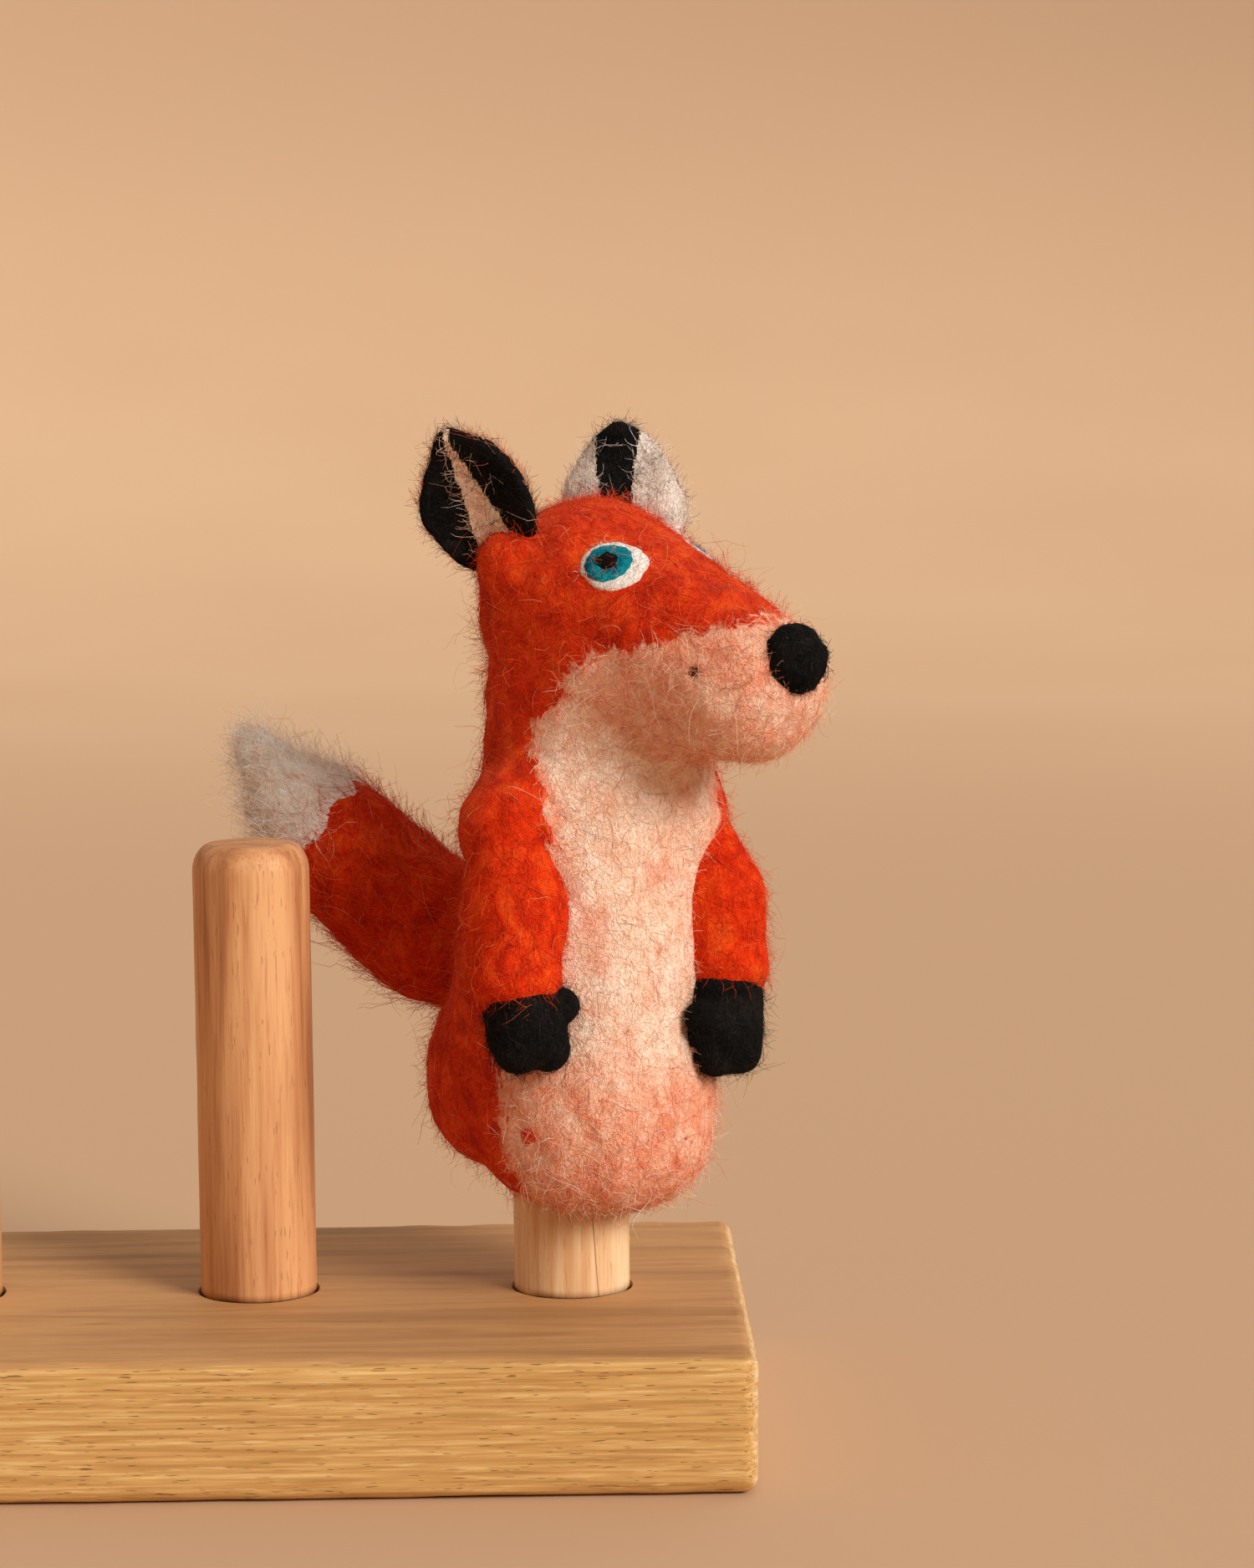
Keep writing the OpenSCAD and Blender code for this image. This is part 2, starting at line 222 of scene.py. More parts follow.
def skin_of(field, low, high, cell):
    """Quad mesh of a field's zero level: one vertex in each grid cell that the surface crosses."""
    low, high = np.asarray(low, float), np.asarray(high, float)
    f = sample_field(field, low, high, cell)
    inside = f < 0
    count = sum(
        inside[a:f.shape[0] - 1 + a, b:f.shape[1] - 1 + b, c:f.shape[2] - 1 + c].astype(np.int8)
        for a, b, c in itertools.product((0, 1), repeat=3)
    )
    mixed = (count > 0) & (count < 8)
    cells = np.argwhere(mixed)
    ids = np.full(mixed.shape, -1)
    ids[mixed] = np.arange(len(cells))
    total, crossings = np.zeros((len(cells), 3)), np.zeros(len(cells))
    for axis in range(3):
        for pair in itertools.product((0, 1), repeat=2):
            a = np.insert(np.array(pair), axis, 0)
            fa = f[tuple((cells + a).T)]
            b = a.copy()
            b[axis] = 1
            fb = f[tuple((cells + b).T)]
            hit = (fa < 0) != (fb < 0)
            spot = np.tile(a.astype(float), (len(cells), 1))
            spot[:, axis] = fa / np.where(hit, fa - fb, 1)
            total[hit] += spot[hit]
            crossings[hit] += 1
    verts = low + (cells + total / crossings[:, None]) * cell
    faces = []
    for axis in range(3):
        u, v = np.eye(3, dtype=int)[(axis + 1) % 3], np.eye(3, dtype=int)[(axis + 2) % 3]
        w = np.eye(3, dtype=int)[axis]
        hits = np.argwhere(inside[:-1, :-1, :-1] != inside[w[0]:, w[1]:, w[2]:][
            :f.shape[0] - 1, :f.shape[1] - 1, :f.shape[2] - 1])
        hits = hits[(hits @ (u + v) > 0) & ((hits @ u) > 0) & ((hits @ v) > 0)]
        quad = np.stack([ids[tuple((hits - u - v).T)], ids[tuple((hits - v).T)],
                         ids[tuple(hits.T)], ids[tuple((hits - u).T)]], 1)
        outward = inside[tuple(hits.T)]
        quad[~outward] = quad[~outward][:, ::-1]
        faces.append(quad)
    return settle(field, verts, reach=cell), np.concatenate(faces)


def vertex_normals(verts, faces):
    """Area-weighted normals of a quad mesh."""
    across = np.cross(verts[faces[:, 2]] - verts[faces[:, 0]], verts[faces[:, 3]] - verts[faces[:, 1]])
    normals = np.zeros_like(verts)
    for corner in range(4):
        np.add.at(normals, faces[:, corner], across)
    return unit(normals)


def unit(v):
    return v / np.maximum(np.linalg.norm(v, axis=-1, keepdims=True), 1e-9)


# ---- meshes


def make_object(name, verts, polygons, to_row=True, smooth=True, normals=None, fields=None):
    """Mesh object from points in the body frame (or the row frame) in mm, and arrays of faces."""
    mesh = bpy.data.meshes.new(name)
    places = (body_to_row(verts) if to_row else np.asarray(verts)) * MM
    mesh.vertices.add(len(places))
    mesh.vertices.foreach_set("co", places.astype(np.float32).ravel())
    loops = np.concatenate([part.ravel() for part in polygons]).astype(np.int32)
    sizes = np.concatenate([np.full(len(part), part.shape[1]) for part in polygons])
    mesh.loops.add(len(loops))
    mesh.loops.foreach_set("vertex_index", loops)
    mesh.polygons.add(len(sizes))
    starts = np.concatenate([[0], np.cumsum(sizes)[:-1]]).astype(np.int32)
    mesh.polygons.foreach_set("loop_start", starts)
    mesh.polygons.foreach_set("use_smooth", np.full(len(sizes), smooth))
    mesh.update(calc_edges=True)
    for key, values in (fields or {}).items():
        attribute = mesh.attributes.new(key, "FLOAT", "POINT")
        attribute.data.foreach_set("value", np.asarray(values, np.float32))
    if normals is not None:
        turned = np.asarray(normals) @ TO_ROW.T if to_row else np.asarray(normals)
        mesh.normals_split_custom_set_from_vertices(turned.astype(np.float32))
    obj = bpy.data.objects.new(name, mesh)
    bpy.context.scene.collection.objects.link(obj)
    return obj


def cut_out(verts, faces, keep, *extras):
    """The chosen faces with only the points that they use, and the same choice of each extra array."""
    chosen = faces[keep]
    used, back = np.unique(chosen, return_inverse=True)
    return (verts[used], back.reshape(chosen.shape), *[extra[used] for extra in extras])


def ring_quads(first, last, sides):
    """Quads that join each ring of points to the next, from the first ring to the last."""
    i = np.arange(sides)
    j = (i + 1) % sides
    strips = [np.stack([k * sides + i, (k + 1) * sides + i, (k + 1) * sides + j, k * sides + j], 1)
              for k in range(first, last)]
    return np.concatenate(strips)


def paint(obj, *materials):
    for material in materials:
        obj.data.materials.append(material)
    return obj


# ---- shader helpers


def srgb(r, g, b):
    """Linear colour from 0 to 255 screen values."""
    out = []
    for value in (r, g, b):
        c = value / 255
        out.append(c / 12.92 if c <= 0.04045 else ((c + 0.055) / 1.055) ** 2.4)
    return (*out, 1.0)


class Graph:
    """A material's node tree, built call by call."""

    def __init__(self, name):
        self.material = bpy.data.materials.new(name)
        self.material.use_nodes = True
        self.tree = self.material.node_tree
        self.tree.nodes.clear()
        scale = self.add("VectorMath", {0: self.add("TexCoord").outputs["Object"], "Scale": 1 / MM},
                         operation="SCALE")
        self.mm = scale.outputs[0]

    def add(self, kind, inputs=None, **settings):
        node = self.tree.nodes.new("ShaderNode" + kind)
        for key, value in settings.items():
            setattr(node, key, value)
        for key, value in (inputs or {}).items():
            if isinstance(value, bpy.types.NodeSocket):
                self.tree.links.new(value, node.inputs[key])
            else:
                node.inputs[key].default_value = value
        return node

    def math(self, operation, a, b=0.0):
        return self.add("Math", {0: a, 1: b}, operation=operation).outputs[0]

    def stretch(self, x, y, z, shift=0.0):
        """The place in millimetres, multiplied along each axis and shifted."""
        node = self.add("VectorMath", {0: self.mm, 1: (x, y, z), 2: (shift, shift * 0.7, shift * 0.3)},
                        operation="MULTIPLY_ADD")
        return node.outputs[0]

    def noise(self, place, scale, detail=2.0, distortion=0.0):
        node = self.add("TexNoise", {"Vector": place, "Scale": scale, "Detail": detail,
                                     "Distortion": distortion})
        return node.outputs["Fac"]

    def remap(self, value, a, b, c=0.0, d=1.0):
        node = self.add("MapRange", {"Value": value, "From Min": a, "From Max": b, "To Min": c, "To Max": d},
                        interpolation_type="SMOOTHSTEP")
        return node.outputs["Result"]

    def mix(self, factor, a, b, blend="MIX"):
        node = self.add("Mix", {0: factor, 6: a, 7: b}, data_type="RGBA", blend_type=blend)
        return node.outputs[2]

    def ramp(self, value, *stops):
        node = self.add("ValToRGB", {"Fac": value})
        elements = node.color_ramp.elements
        while len(elements) < len(stops):
            elements.new(0.5)
        for element, (place, tone) in zip(elements, stops):
            element.position = place
            element.color = tone
        return node.outputs["Color"]

    def field(self, name):
        return self.add("Attribute", attribute_name=name).outputs["Fac"]

    def hairs(self, place, scale, width, distortion=1.4):
        """Thin curly lines, like single fibres lying in the felt."""
        wave = self.noise(place, scale, 1.0, distortion)
        off = self.math("ABSOLUTE", self.math("SUBTRACT", wave, 0.5))
        return self.remap(off, 0.0, width, 1.0, 0.0)

    def finish(self, colour, roughness, height=None, relief=0.1, **sockets):
        """Ends the tree in a Principled shader with a bump of that relief, in millimetres."""
        inputs = {"Base Color": colour, "Roughness": roughness}
        if height is not None:
            bump = self.add("Bump", {"Strength": 1.0, "Distance": relief * MM, "Height": height})
            inputs["Normal"] = bump.outputs["Normal"]
        for key, value in sockets.items():
            inputs[key.replace("_", " ")] = value
        shader = self.add("BsdfPrincipled", inputs)
        self.add("OutputMaterial", {"Surface": shader.outputs["BSDF"]})
        return self.material


# ---- wool materials


def wool_relief(g):
    """Height of the matted surface: curls over soft lumps."""
    curls = g.hairs(g.stretch(1, 1, 0.7), 0.85, 0.09)
    fine = g.hairs(g.stretch(1, 1, 0.8, 31), 1.9, 0.10)
    soft = g.noise(g.mm, 1.3, 3.0)
    total = g.math("ADD", g.math("MULTIPLY", curls, 0.45), g.math("MULTIPLY", fine, 0.35))
    return g.math("ADD", total, g.math("MULTIPLY", soft, 0.8))


def wool_streaks(g, colour, pale, dark, pale_share, dark_share):
    """Pale fibres drawn over a colour, then dark lines that are partly darker fibres and partly painted shade
    between the fibres.
    """
    pale = srgb(*pale)
    lines = g.hairs(g.stretch(1, 1, 0.6, 5), 0.7, 0.030)
    patchy = g.remap(g.noise(g.mm, 0.22, 1.0), 0.35, 0.65)
    share = g.math("MULTIPLY", g.math("MULTIPLY", lines, patchy), pale_share)
    colour = g.mix(share, colour, pale)
    fine = g.hairs(g.stretch(1, 1, 0.7, 17), 1.5, 0.045)
    colour = g.mix(g.math("MULTIPLY", fine, pale_share * 0.6), colour, pale)
    # Dark curly lines: partly darker fibres, partly painted shade between the fibres
    dark_fibres_and_shade = g.hairs(g.stretch(1, 1, 0.7, 43), 1.1, 0.045)
    return g.mix(g.math("MULTIPLY", dark_fibres_and_shade, dark_share), colour, srgb(*dark))


# Deep, middle and light tone of each main wool
ORANGE = ((190, 32, 4), (222, 50, 8), (238, 78, 20))
PEACH = ((238, 142, 104), (246, 172, 138), (251, 200, 172))
CREAM = ((248, 198, 168), (252, 216, 190), (255, 230, 210))
# Pale fibres among the orange, dark lines that are partly darker fibres and partly painted shade between
# them, and how much they show
ORANGE_STRAYS = ((242, 112, 56), (140, 16, 2), 0.3, 0.35)


def tones(g, three, scale=0.3, shift=0.0):
    """Three tones of one wool, clouded together."""
    cloud = g.noise(g.stretch(1, 1, 0.8, shift), scale, 4.0, 0.6)
    return g.ramp(cloud, *[(place, srgb(*tone)) for place, tone in zip((0.34, 0.5, 0.66), three)])


def skin_wool():
    """The body and head: orange, peach and cream wool, felted into each other by the mesh's fields."""
    g = Graph("wool_skin")
    ragged = g.noise(g.stretch(1, 1, 0.5, 3), 0.9, 3.0, 1.0)
    ragged = g.math("MULTIPLY", g.math("SUBTRACT", ragged, 0.5), 0.9)
    pale = g.remap(g.math("ADD", g.field("pale"), ragged), 0.38, 0.62)
    cream = g.remap(g.math("ADD", g.field("cream"), ragged), 0.2, 0.9)
    light = g.mix(cream, tones(g, PEACH, 0.3, 11), tones(g, CREAM, 0.28, 23))
    blush = g.remap(g.noise(g.stretch(1, 1, 0.7, 61), 0.16, 3.0, 0.8), 0.52, 0.72)
    light = g.mix(g.math("MULTIPLY", blush, 0.55), light, srgb(238, 124, 84))
    # Both wools get dark lines that are partly darker fibres and partly painted shade between the fibres
    orange = wool_streaks(g, tones(g, ORANGE), *ORANGE_STRAYS)
    light = wool_streaks(g, light, (255, 236, 220), (226, 140, 104), 0.4, 0.22)
    colour = g.mix(pale, orange, light)
    return g.finish(colour, 0.95, wool_relief(g), 0.16, Sheen_Weight=0.12, Sheen_Roughness=0.5,
                    Sheen_Tint=srgb(255, 190, 150), Specular_IOR_Level=0.08)


def plain_felt(name, three, pale, dark, pale_share, dark_share, sheen=0.1):
    """Felt of one wool with pale stray fibres, and dark lines that are partly darker fibres and partly
    painted shade between the fibres.
    """
    g = Graph(name)
    colour = wool_streaks(g, tones(g, three), pale, dark, pale_share, dark_share)
    return g.finish(colour, 0.95, wool_relief(g), 0.14, Sheen_Weight=sheen, Sheen_Roughness=0.5,
                    Sheen_Tint=srgb(*three[2]), Specular_IOR_Level=0.08)


# Each plain felt's material name, three tones, pale fibres, dark lines that are partly darker fibres and
# partly painted shade, how much they show, and any sheen
PLAIN_FELTS = {
    "orange": ("wool_orange", ORANGE, *ORANGE_STRAYS),
    "black": ("wool_black", ((10, 9, 9), (17, 15, 14), (27, 24, 22)),
              (64, 60, 56), (4, 4, 4), 0.3, 0.3, 0.04),
    "white": ("wool_white", ((222, 212, 200), (238, 230, 220), (248, 243, 235)),
              (255, 252, 246), (190, 172, 156), 0.4, 0.25),
    "teal": ("wool_teal", ((0, 84, 104), (4, 120, 136), (18, 150, 160)),
             (60, 180, 186), (0, 50, 66), 0.4, 0.4),
    "far_ear": ("wool_ear_white", ((176, 156, 144), (216, 198, 184), (238, 226, 214)),
                (250, 242, 234), (84, 66, 58), 0.4, 0.4),
    "near_ear": ("wool_ear_peach", ((214, 110, 70), (236, 156, 112), (246, 190, 150)),
                 (252, 222, 194), (150, 50, 20), 0.4, 0.35),
    "ear_lining": ("wool_ear_lining", ((232, 172, 136), (246, 204, 172), (252, 224, 200)),
                   (255, 240, 224), (120, 74, 56), 0.4, 0.35),
    "tip": ("wool_tail_tip", ((238, 224, 206), (248, 240, 226), (255, 251, 244)),
            (250, 246, 238), (176, 158, 138), 0.4, 0.25, 0.5),
}
FIBRE_TONES = {
    "red": (196, 36, 6), "orange": (228, 66, 16), "amber": (240, 104, 44), "tan": (238, 160, 110),
    "peach": (246, 178, 142), "cream": (252, 222, 194), "white": (248, 242, 234), "dark": (96, 44, 28),
    "black": (16, 15, 15), "grey": (46, 43, 40), "teal": (10, 130, 146), "salmon": (240, 136, 100),
}


def make_wools():
    """Every wool material by name: the felts, and the loose fibres as f_ and their tone."""
    wools = {"skin": skin_wool()}
    for key, plan in PLAIN_FELTS.items():
        wools[key] = plain_felt(*plan)
    for key, tone in FIBRE_TONES.items():
        wools["f_" + key] = Graph("fibre_" + key).finish(srgb(*tone), 0.8, Specular_IOR_Level=0.15)
    return wools


# ---- wood materials


def block_wood():
    """Pale hardwood with its grain along X: open pores on the sides, smoother and browner on top."""
    g = Graph("wood_block")
    normal = g.add("SeparateXYZ", {0: g.add("NewGeometry").outputs["True Normal"]})
    up = g.remap(normal.outputs["Z"], 0.55, 0.85)
    end = g.remap(g.math("ABSOLUTE", normal.outputs["X"]), 0.5, 0.8)
    bend = g.noise(g.stretch(0.02, 0.12, 0.12), 1.0, 2.0)
    bent = g.add("VectorMath", {0: g.stretch(0.012, 0.16, 0.16), 1: bend}, operation="ADD")
    bands = g.noise(bent.outputs[0], 1.0, 3.0, 0.6)
    streaks = g.noise(g.stretch(0.05, 1.6, 1.9, 7), 1.0, 4.0, 0.3)
    fine = g.noise(g.stretch(0.22, 5.0, 5.6, 19), 1.0, 3.0, 0.2)
    side = g.ramp(streaks, (0.30, srgb(176, 130, 72)), (0.46, srgb(202, 156, 92)),
                  (0.58, srgb(214, 170, 106)), (0.72, srgb(228, 190, 128)))
    top = g.ramp(bands, (0.30, srgb(156, 110, 68)), (0.45, srgb(184, 134, 84)), (0.58, srgb(196, 146, 94)),
                 (0.72, srgb(170, 118, 72)))
    top = g.mix(g.remap(streaks, 0.35, 0.65, 0.0, 0.3), top, srgb(200, 154, 102))
    colour = g.mix(up, side, top)
    growth = g.noise(g.stretch(0.0, 0.5, 1.1, 3), 1.0, 3.0, 0.4)
    ends = g.ramp(growth, (0.35, srgb(196, 152, 100)), (0.55, srgb(226, 190, 140)),
                  (0.7, srgb(238, 208, 164)))
    colour = g.mix(end, colour, ends)
    pores = g.remap(g.noise(g.stretch(0.35, 4.2, 4.6, 37), 1.0, 1.0), 0.66, 0.73)
    pores = g.math("MULTIPLY", pores, g.math("SUBTRACT", 1.0, g.math("MULTIPLY", up, 0.75)))
    colour = g.mix(g.math("MULTIPLY", pores, 0.75), colour, srgb(112, 74, 36))
    flecks = g.remap(g.noise(g.stretch(0.16, 2.2, 2.8, 53), 1.0, 2.0), 0.60, 0.70)
    flecks = g.math("MULTIPLY", flecks, g.math("SUBTRACT", 0.5, g.math("MULTIPLY", up, 0.4)))
    colour = g.mix(flecks, colour, srgb(240, 208, 146))
    colour = g.mix(g.remap(fine, 0.35, 0.65, 0.0, 0.22), colour, srgb(150, 106, 62))
    height = g.math("SUBTRACT", g.math("MULTIPLY", fine, 0.5), g.math("MULTIPLY", pores, 0.9))
    return g.finish(colour, 0.62, height, 0.06, Specular_IOR_Level=0.22)


def peg_wood(name, dark, middle, light, line, seed, crack=0.0):
    """A turned peg with its grain up the length, and end grain on top."""
    g = Graph(name)
    normal = g.add("SeparateXYZ", {0: g.add("NewGeometry").outputs["True Normal"]})
    top = g.remap(normal.outputs["Z"], 0.6, 0.9)
    broad = g.noise(g.stretch(0.16, 0.16, 0.012, seed), 1.0, 2.0, 0.4)
    streaks = g.noise(g.stretch(0.9, 0.9, 0.035, seed + 5), 1.0, 4.0, 0.4)
    blend = g.math("ADD", g.math("MULTIPLY", broad, 0.65), g.math("MULTIPLY", streaks, 0.35))
    colour = g.ramp(blend, (0.36, dark), (0.48, middle), (0.62, light))
    fine = g.noise(g.stretch(3.2, 3.2, 0.12, seed + 9), 1.0, 3.0)
    colour = g.mix(g.remap(fine, 0.5, 0.72, 0.0, 0.4), colour, line)
    pores = g.remap(g.noise(g.stretch(4.2, 4.2, 0.35, seed + 13), 1.0, 1.0), 0.68, 0.75)
    colour = g.mix(g.math("MULTIPLY", pores, 0.6), colour, dark)
    if crack:
        split = g.hairs(g.stretch(0.09, 0.09, 0.01, seed + 21), 1.0, 0.004, 0.4)
        colour = g.mix(g.math("MULTIPLY", split, crack), colour, srgb(96, 50, 26))
    rings = g.noise(g.stretch(0.25, 1.4, 0.0, seed), 1.0, 3.0, 0.3)
    colour = g.mix(g.math("MULTIPLY", top, 0.8), colour, g.ramp(rings, (0.35, dark), (0.6, middle)))
    return g.finish(colour, 0.58, g.math("SUBTRACT", fine, pores), 0.05, Specular_IOR_Level=0.3)


# ---- the fox's shape

HIP_R, NECK_R = 16.4, 14.0
# Centre and radius of the body at heights above the block: x, y, radius, z
STATIONS = np.array([
    [0.8, -1.0, HIP_R * 0.66, 15], [0.8, -1.2, HIP_R * 0.93, 22], [0.9, -1.3, HIP_R, 30],
    [1.1, -1.4, HIP_R, 40], [1.4, -1.6, HIP_R * 0.75 + NECK_R * 0.25, 50],
    [2.0, -2.0, (HIP_R + NECK_R) / 2 - 0.2, 60], [2.8, -2.6, NECK_R, 70], [3.0, -2.7, NECK_R - 0.3, 79],
])
# Centre, radius and half height of the two lobes of the lower body
BELLY = (np.array([1.2, -5, 25.0]), 15.2, 13.7)
RUMP = (np.array([-2.4, 4.4, 27.8]), 14.3, 12.4)
# The finger pocket, and how softly the head runs into the body
POCKET_R, POCKET_TOP, NECK_BLEND = 8.4, 58.65, 7.0
# The skull, the snout's end and the mouth's stitch, in the head frame
SKULL_R, SNOUT_R = 14.2, 9.9
SNOUT_END = np.array([0, -25, -8.1])
MOUTH = np.array([-9.6, -24.5, -6.1])
# The crease between belly and rump, and the belly's top
CREASE_Y, BELLY_TOP = -8.6, 32.0
# The arms' radii, and the left wrist and paw
SHOULDER_R, ELBOW_R, CUFF_R, PAW_R = 5.0, 5.9, 5.9, 4.8
WRIST = np.array([15.6, -13.4, 43.4])
PAW = np.array([13.9, -15.6, 36.8])
# The two arms aren't quite alike: where each lies, how far its elbow bulges, and how high its paw hangs
ARM_SHIFT = {RIGHT: np.array([1.0, -0.5, 0]), LEFT: np.array([0, 0, -0.6])}
ELBOW_OUT = {RIGHT: np.array([0.6, 0.2, 0]), LEFT: np.array([1.1, 0.2, 0])}
PAW_DROP = {RIGHT: np.array([0, 0, 0.5]), LEFT: np.array([-0.2, -0.6, -2.4])}
# The left ear's base, in the head frame
EAR_BASE = np.array([11, 4.7, 7])


def smooth_table(rows, column, samples=80):
    """A smooth curve through rows, listed against one of their columns."""
    n = len(rows)
    t = np.linspace(0, n - 1, samples)
    i = np.minimum(t.astype(int), n - 2)
    f = (t - i)[:, None]
    p0, p1 = rows[np.maximum(i - 1, 0)], rows[i]
    p2, p3 = rows[i + 1], rows[np.minimum(i + 2, n - 1)]
    out = 0.5 * (2 * p1 + (p2 - p0) * f + (2 * p0 - 5 * p1 + 4 * p2 - p3) * f**2
                 + (3 * p1 - p0 - 3 * p2 + p3) * f**3)
    return out[np.argsort(out[:, column])] if column is not None else out


BODY_CURVE = smooth_table(STATIONS, 3)


def column_field(p):
    """The body's column through its stations."""
    heights = BODY_CURVE[:, 3]
    x, y, r = (np.interp(p[:, 2], heights, BODY_CURVE[:, i]) for i in range(3))
    d = np.hypot(p[:, 0] - x, p[:, 1] - y) - r
    past = np.maximum(heights[0] - p[:, 2], p[:, 2] - heights[-1])
    return -merge(-d, -past, 4.0)


def trunk_field(p):
    """Body without the head: column, rump and belly, with soft shoulders and a bed for the tail."""
    d = merge(column_field(p), lobe(p, *RUMP), 1.8)
    d = merge(d, lobe(p, *BELLY), 1.1)
    for side in (RIGHT, LEFT):
        d = merge(d, ball(p, SHOULDERS[side] + np.array([-side * 0.8, 1.0, 1.6]), SHOULDER_R - 0.1), 8.0)
    return merge(d, ball(p, TAIL_ROOT - np.array([0, 2.0, 0]), 6.6), 2.0)


def head_field(p):
    """Skull and snout, with the mounds that the ears grow from."""
    q = body_to_head(p)
    d = round_cone(q, np.zeros(3), SKULL_R, SNOUT_END, SNOUT_R)
    for side in (RIGHT, LEFT):
        d = merge(d, ball(q, mirrored(EAR_BASE, side) * 0.93, 4.4), 3.0)
    return d


def felt_lumps(p, seed=1, size=1.0):
    """How far hand-felted wool stands proud of its smooth shape."""
    broad, middle, fine = noise(p, 5.2, seed), noise(p, 2.3, seed + 1), noise(p, 1.0, seed + 2)
    return size * (0.32 * broad + 0.16 * middle + 0.07 * fine)


def skin_field(p):
    """The fox's felt, from the pocket to the top of the head."""
    d = merge(trunk_field(p), head_field(p), NECK_BLEND)
    pocket = np.maximum(np.hypot(p[:, 0], p[:, 1]) - POCKET_R, p[:, 2] - POCKET_TOP)
    d = carve(d - felt_lumps(p), ball(body_to_head(p), MOUTH * 1.02, 0.75), 0.8)
    return carve(d, pocket, 1.2)


# Upper edge of the pale jaw: height above the skull's centre against distance forward of it
JAW_U = [1.4, 1.6, 3.5, 8, 14, 21, 28, 40]
JAW_W = [-20, -13, -10, -6.6, -3.8, -2.4, -0.3, 2]
# Right and left edges of the pale chest against height above the block
BIB_Z = [32, 38, 48, 62, 70, 75, 79, 84]
BIB_RIGHT = [-10.5, -10.5, -10, -9.4, -9.8, -9.2, -6.5, -3]
BIB_LEFT = [12, 12, 13, 15, 15.2, 15.4, 15.5, 15.7]
# Stray tufts of orange and red wool in the pale belly and chest: place, size and strength
TUFTS = [((-12.4, -12.2, 23), 1.5, 0.9), ((6.6, -19.4, 22), 0.7, 0.7), ((5.0, -17.6, 17), 0.8, 0.6),
         ((-1.5, -17.2, 59), 1.2, 0.32), ((1.0, -17.4, 56), 0.9, 0.3)]


def jaw_depth(p):
    """Millimetres below the upper edge of the pale jaw, negative above it."""
    q = body_to_head(p)
    forward = -q[:, 1]
    below = np.interp(forward, JAW_U, JAW_W) - q[:, 2]
    return np.minimum(below * 0.85, forward - 1.4)


def chest_depth(p):
    """Millimetres inside the edge of the pale chest and belly, negative outside."""
    edges = [np.interp(p[:, 2], BIB_Z, side) for side in (BIB_RIGHT, BIB_LEFT)]
    chest = np.minimum(np.minimum(p[:, 0] - edges[0], edges[1] - p[:, 0]), -4 - p[:, 1])
    belly = np.minimum(CREASE_Y + 0.4 - p[:, 1], BELLY_TOP + 4 - p[:, 2])
    return np.maximum(chest, belly)


def region_of(p):
    """Which CAD node each point of the skin belongs to, and its pale and cream fields."""
    on_head = head_field(p) < trunk_field(p)
    ragged = 0.7 * noise(p, 1.6, 21) + 0.5 * noise(p, 4.0, 22)
    depth = np.where(on_head, jaw_depth(p), chest_depth(p)) + ragged
    outside = np.hypot(p[:, 0], p[:, 1]) > POCKET_R + 0.6
    names = np.full(len(p), "torso", dtype=object)
    names[on_head] = "head"
    names[on_head & (depth > 0)] = "muzzle"
    pale = ~on_head & (depth > 0) & outside
    names[pale & (p[:, 2] >= BELLY_TOP)] = "bib"
    names[pale & (p[:, 2] < BELLY_TOP)] = "belly"
    wide = np.where(on_head, 2.0, np.where(p[:, 2] < BELLY_TOP, 3.6, 1.6))
    pale_field = np.clip(0.5 + 0.5 * depth / wide, 0, 1) * outside
    for place, size, strength in TUFTS:
        pale_field = pale_field - strength * np.exp(-((p - np.array(place)) ** 2).sum(1) / size**2)
    chest = np.clip((p[:, 2] - 27) / 8, 0, 1) * np.clip((chest_depth(p) + 0.5) / 2.5, 0, 1)
    glow = np.clip((16 - np.abs(p[:, 0] - 1)) / 8, 0, 1)
    cream_field = np.where(on_head, 0.28 + 0.3 * np.clip(jaw_depth(p) / 12, 0, 1), 0.15 + 0.85 * chest * glow)
    return names, pale_field, cream_field


# ---- loose fibres


class Fibres:
    """How the loose fibres of one stretch of felt look."""

    def __init__(self, count, length, rise, curl, radius, steps=6, comb=(0, 0, -1), stray=0.9):
        self.count, self.length, self.rise, self.curl = count, length, rise, curl
        self.radius, self.steps, self.comb, self.stray = radius, steps, np.array(comb, float), stray


def scatter(verts, faces, normals, count, rng):
    """Random points on a quad mesh, evenly by area, with their normals."""
    a, b, c, d = (verts[faces[:, i]] for i in range(4))
    area = np.linalg.norm(np.cross(c - a, d - b), axis=1)
    pick = rng.choice(len(faces), count, p=area / area.sum())
    u, v = rng.random((2, count, 1))
    spot = (1 - u) * ((1 - v) * a[pick] + v * d[pick]) + u * ((1 - v) * b[pick] + v * c[pick])
    return spot, unit(normals[faces[pick]].mean(1))


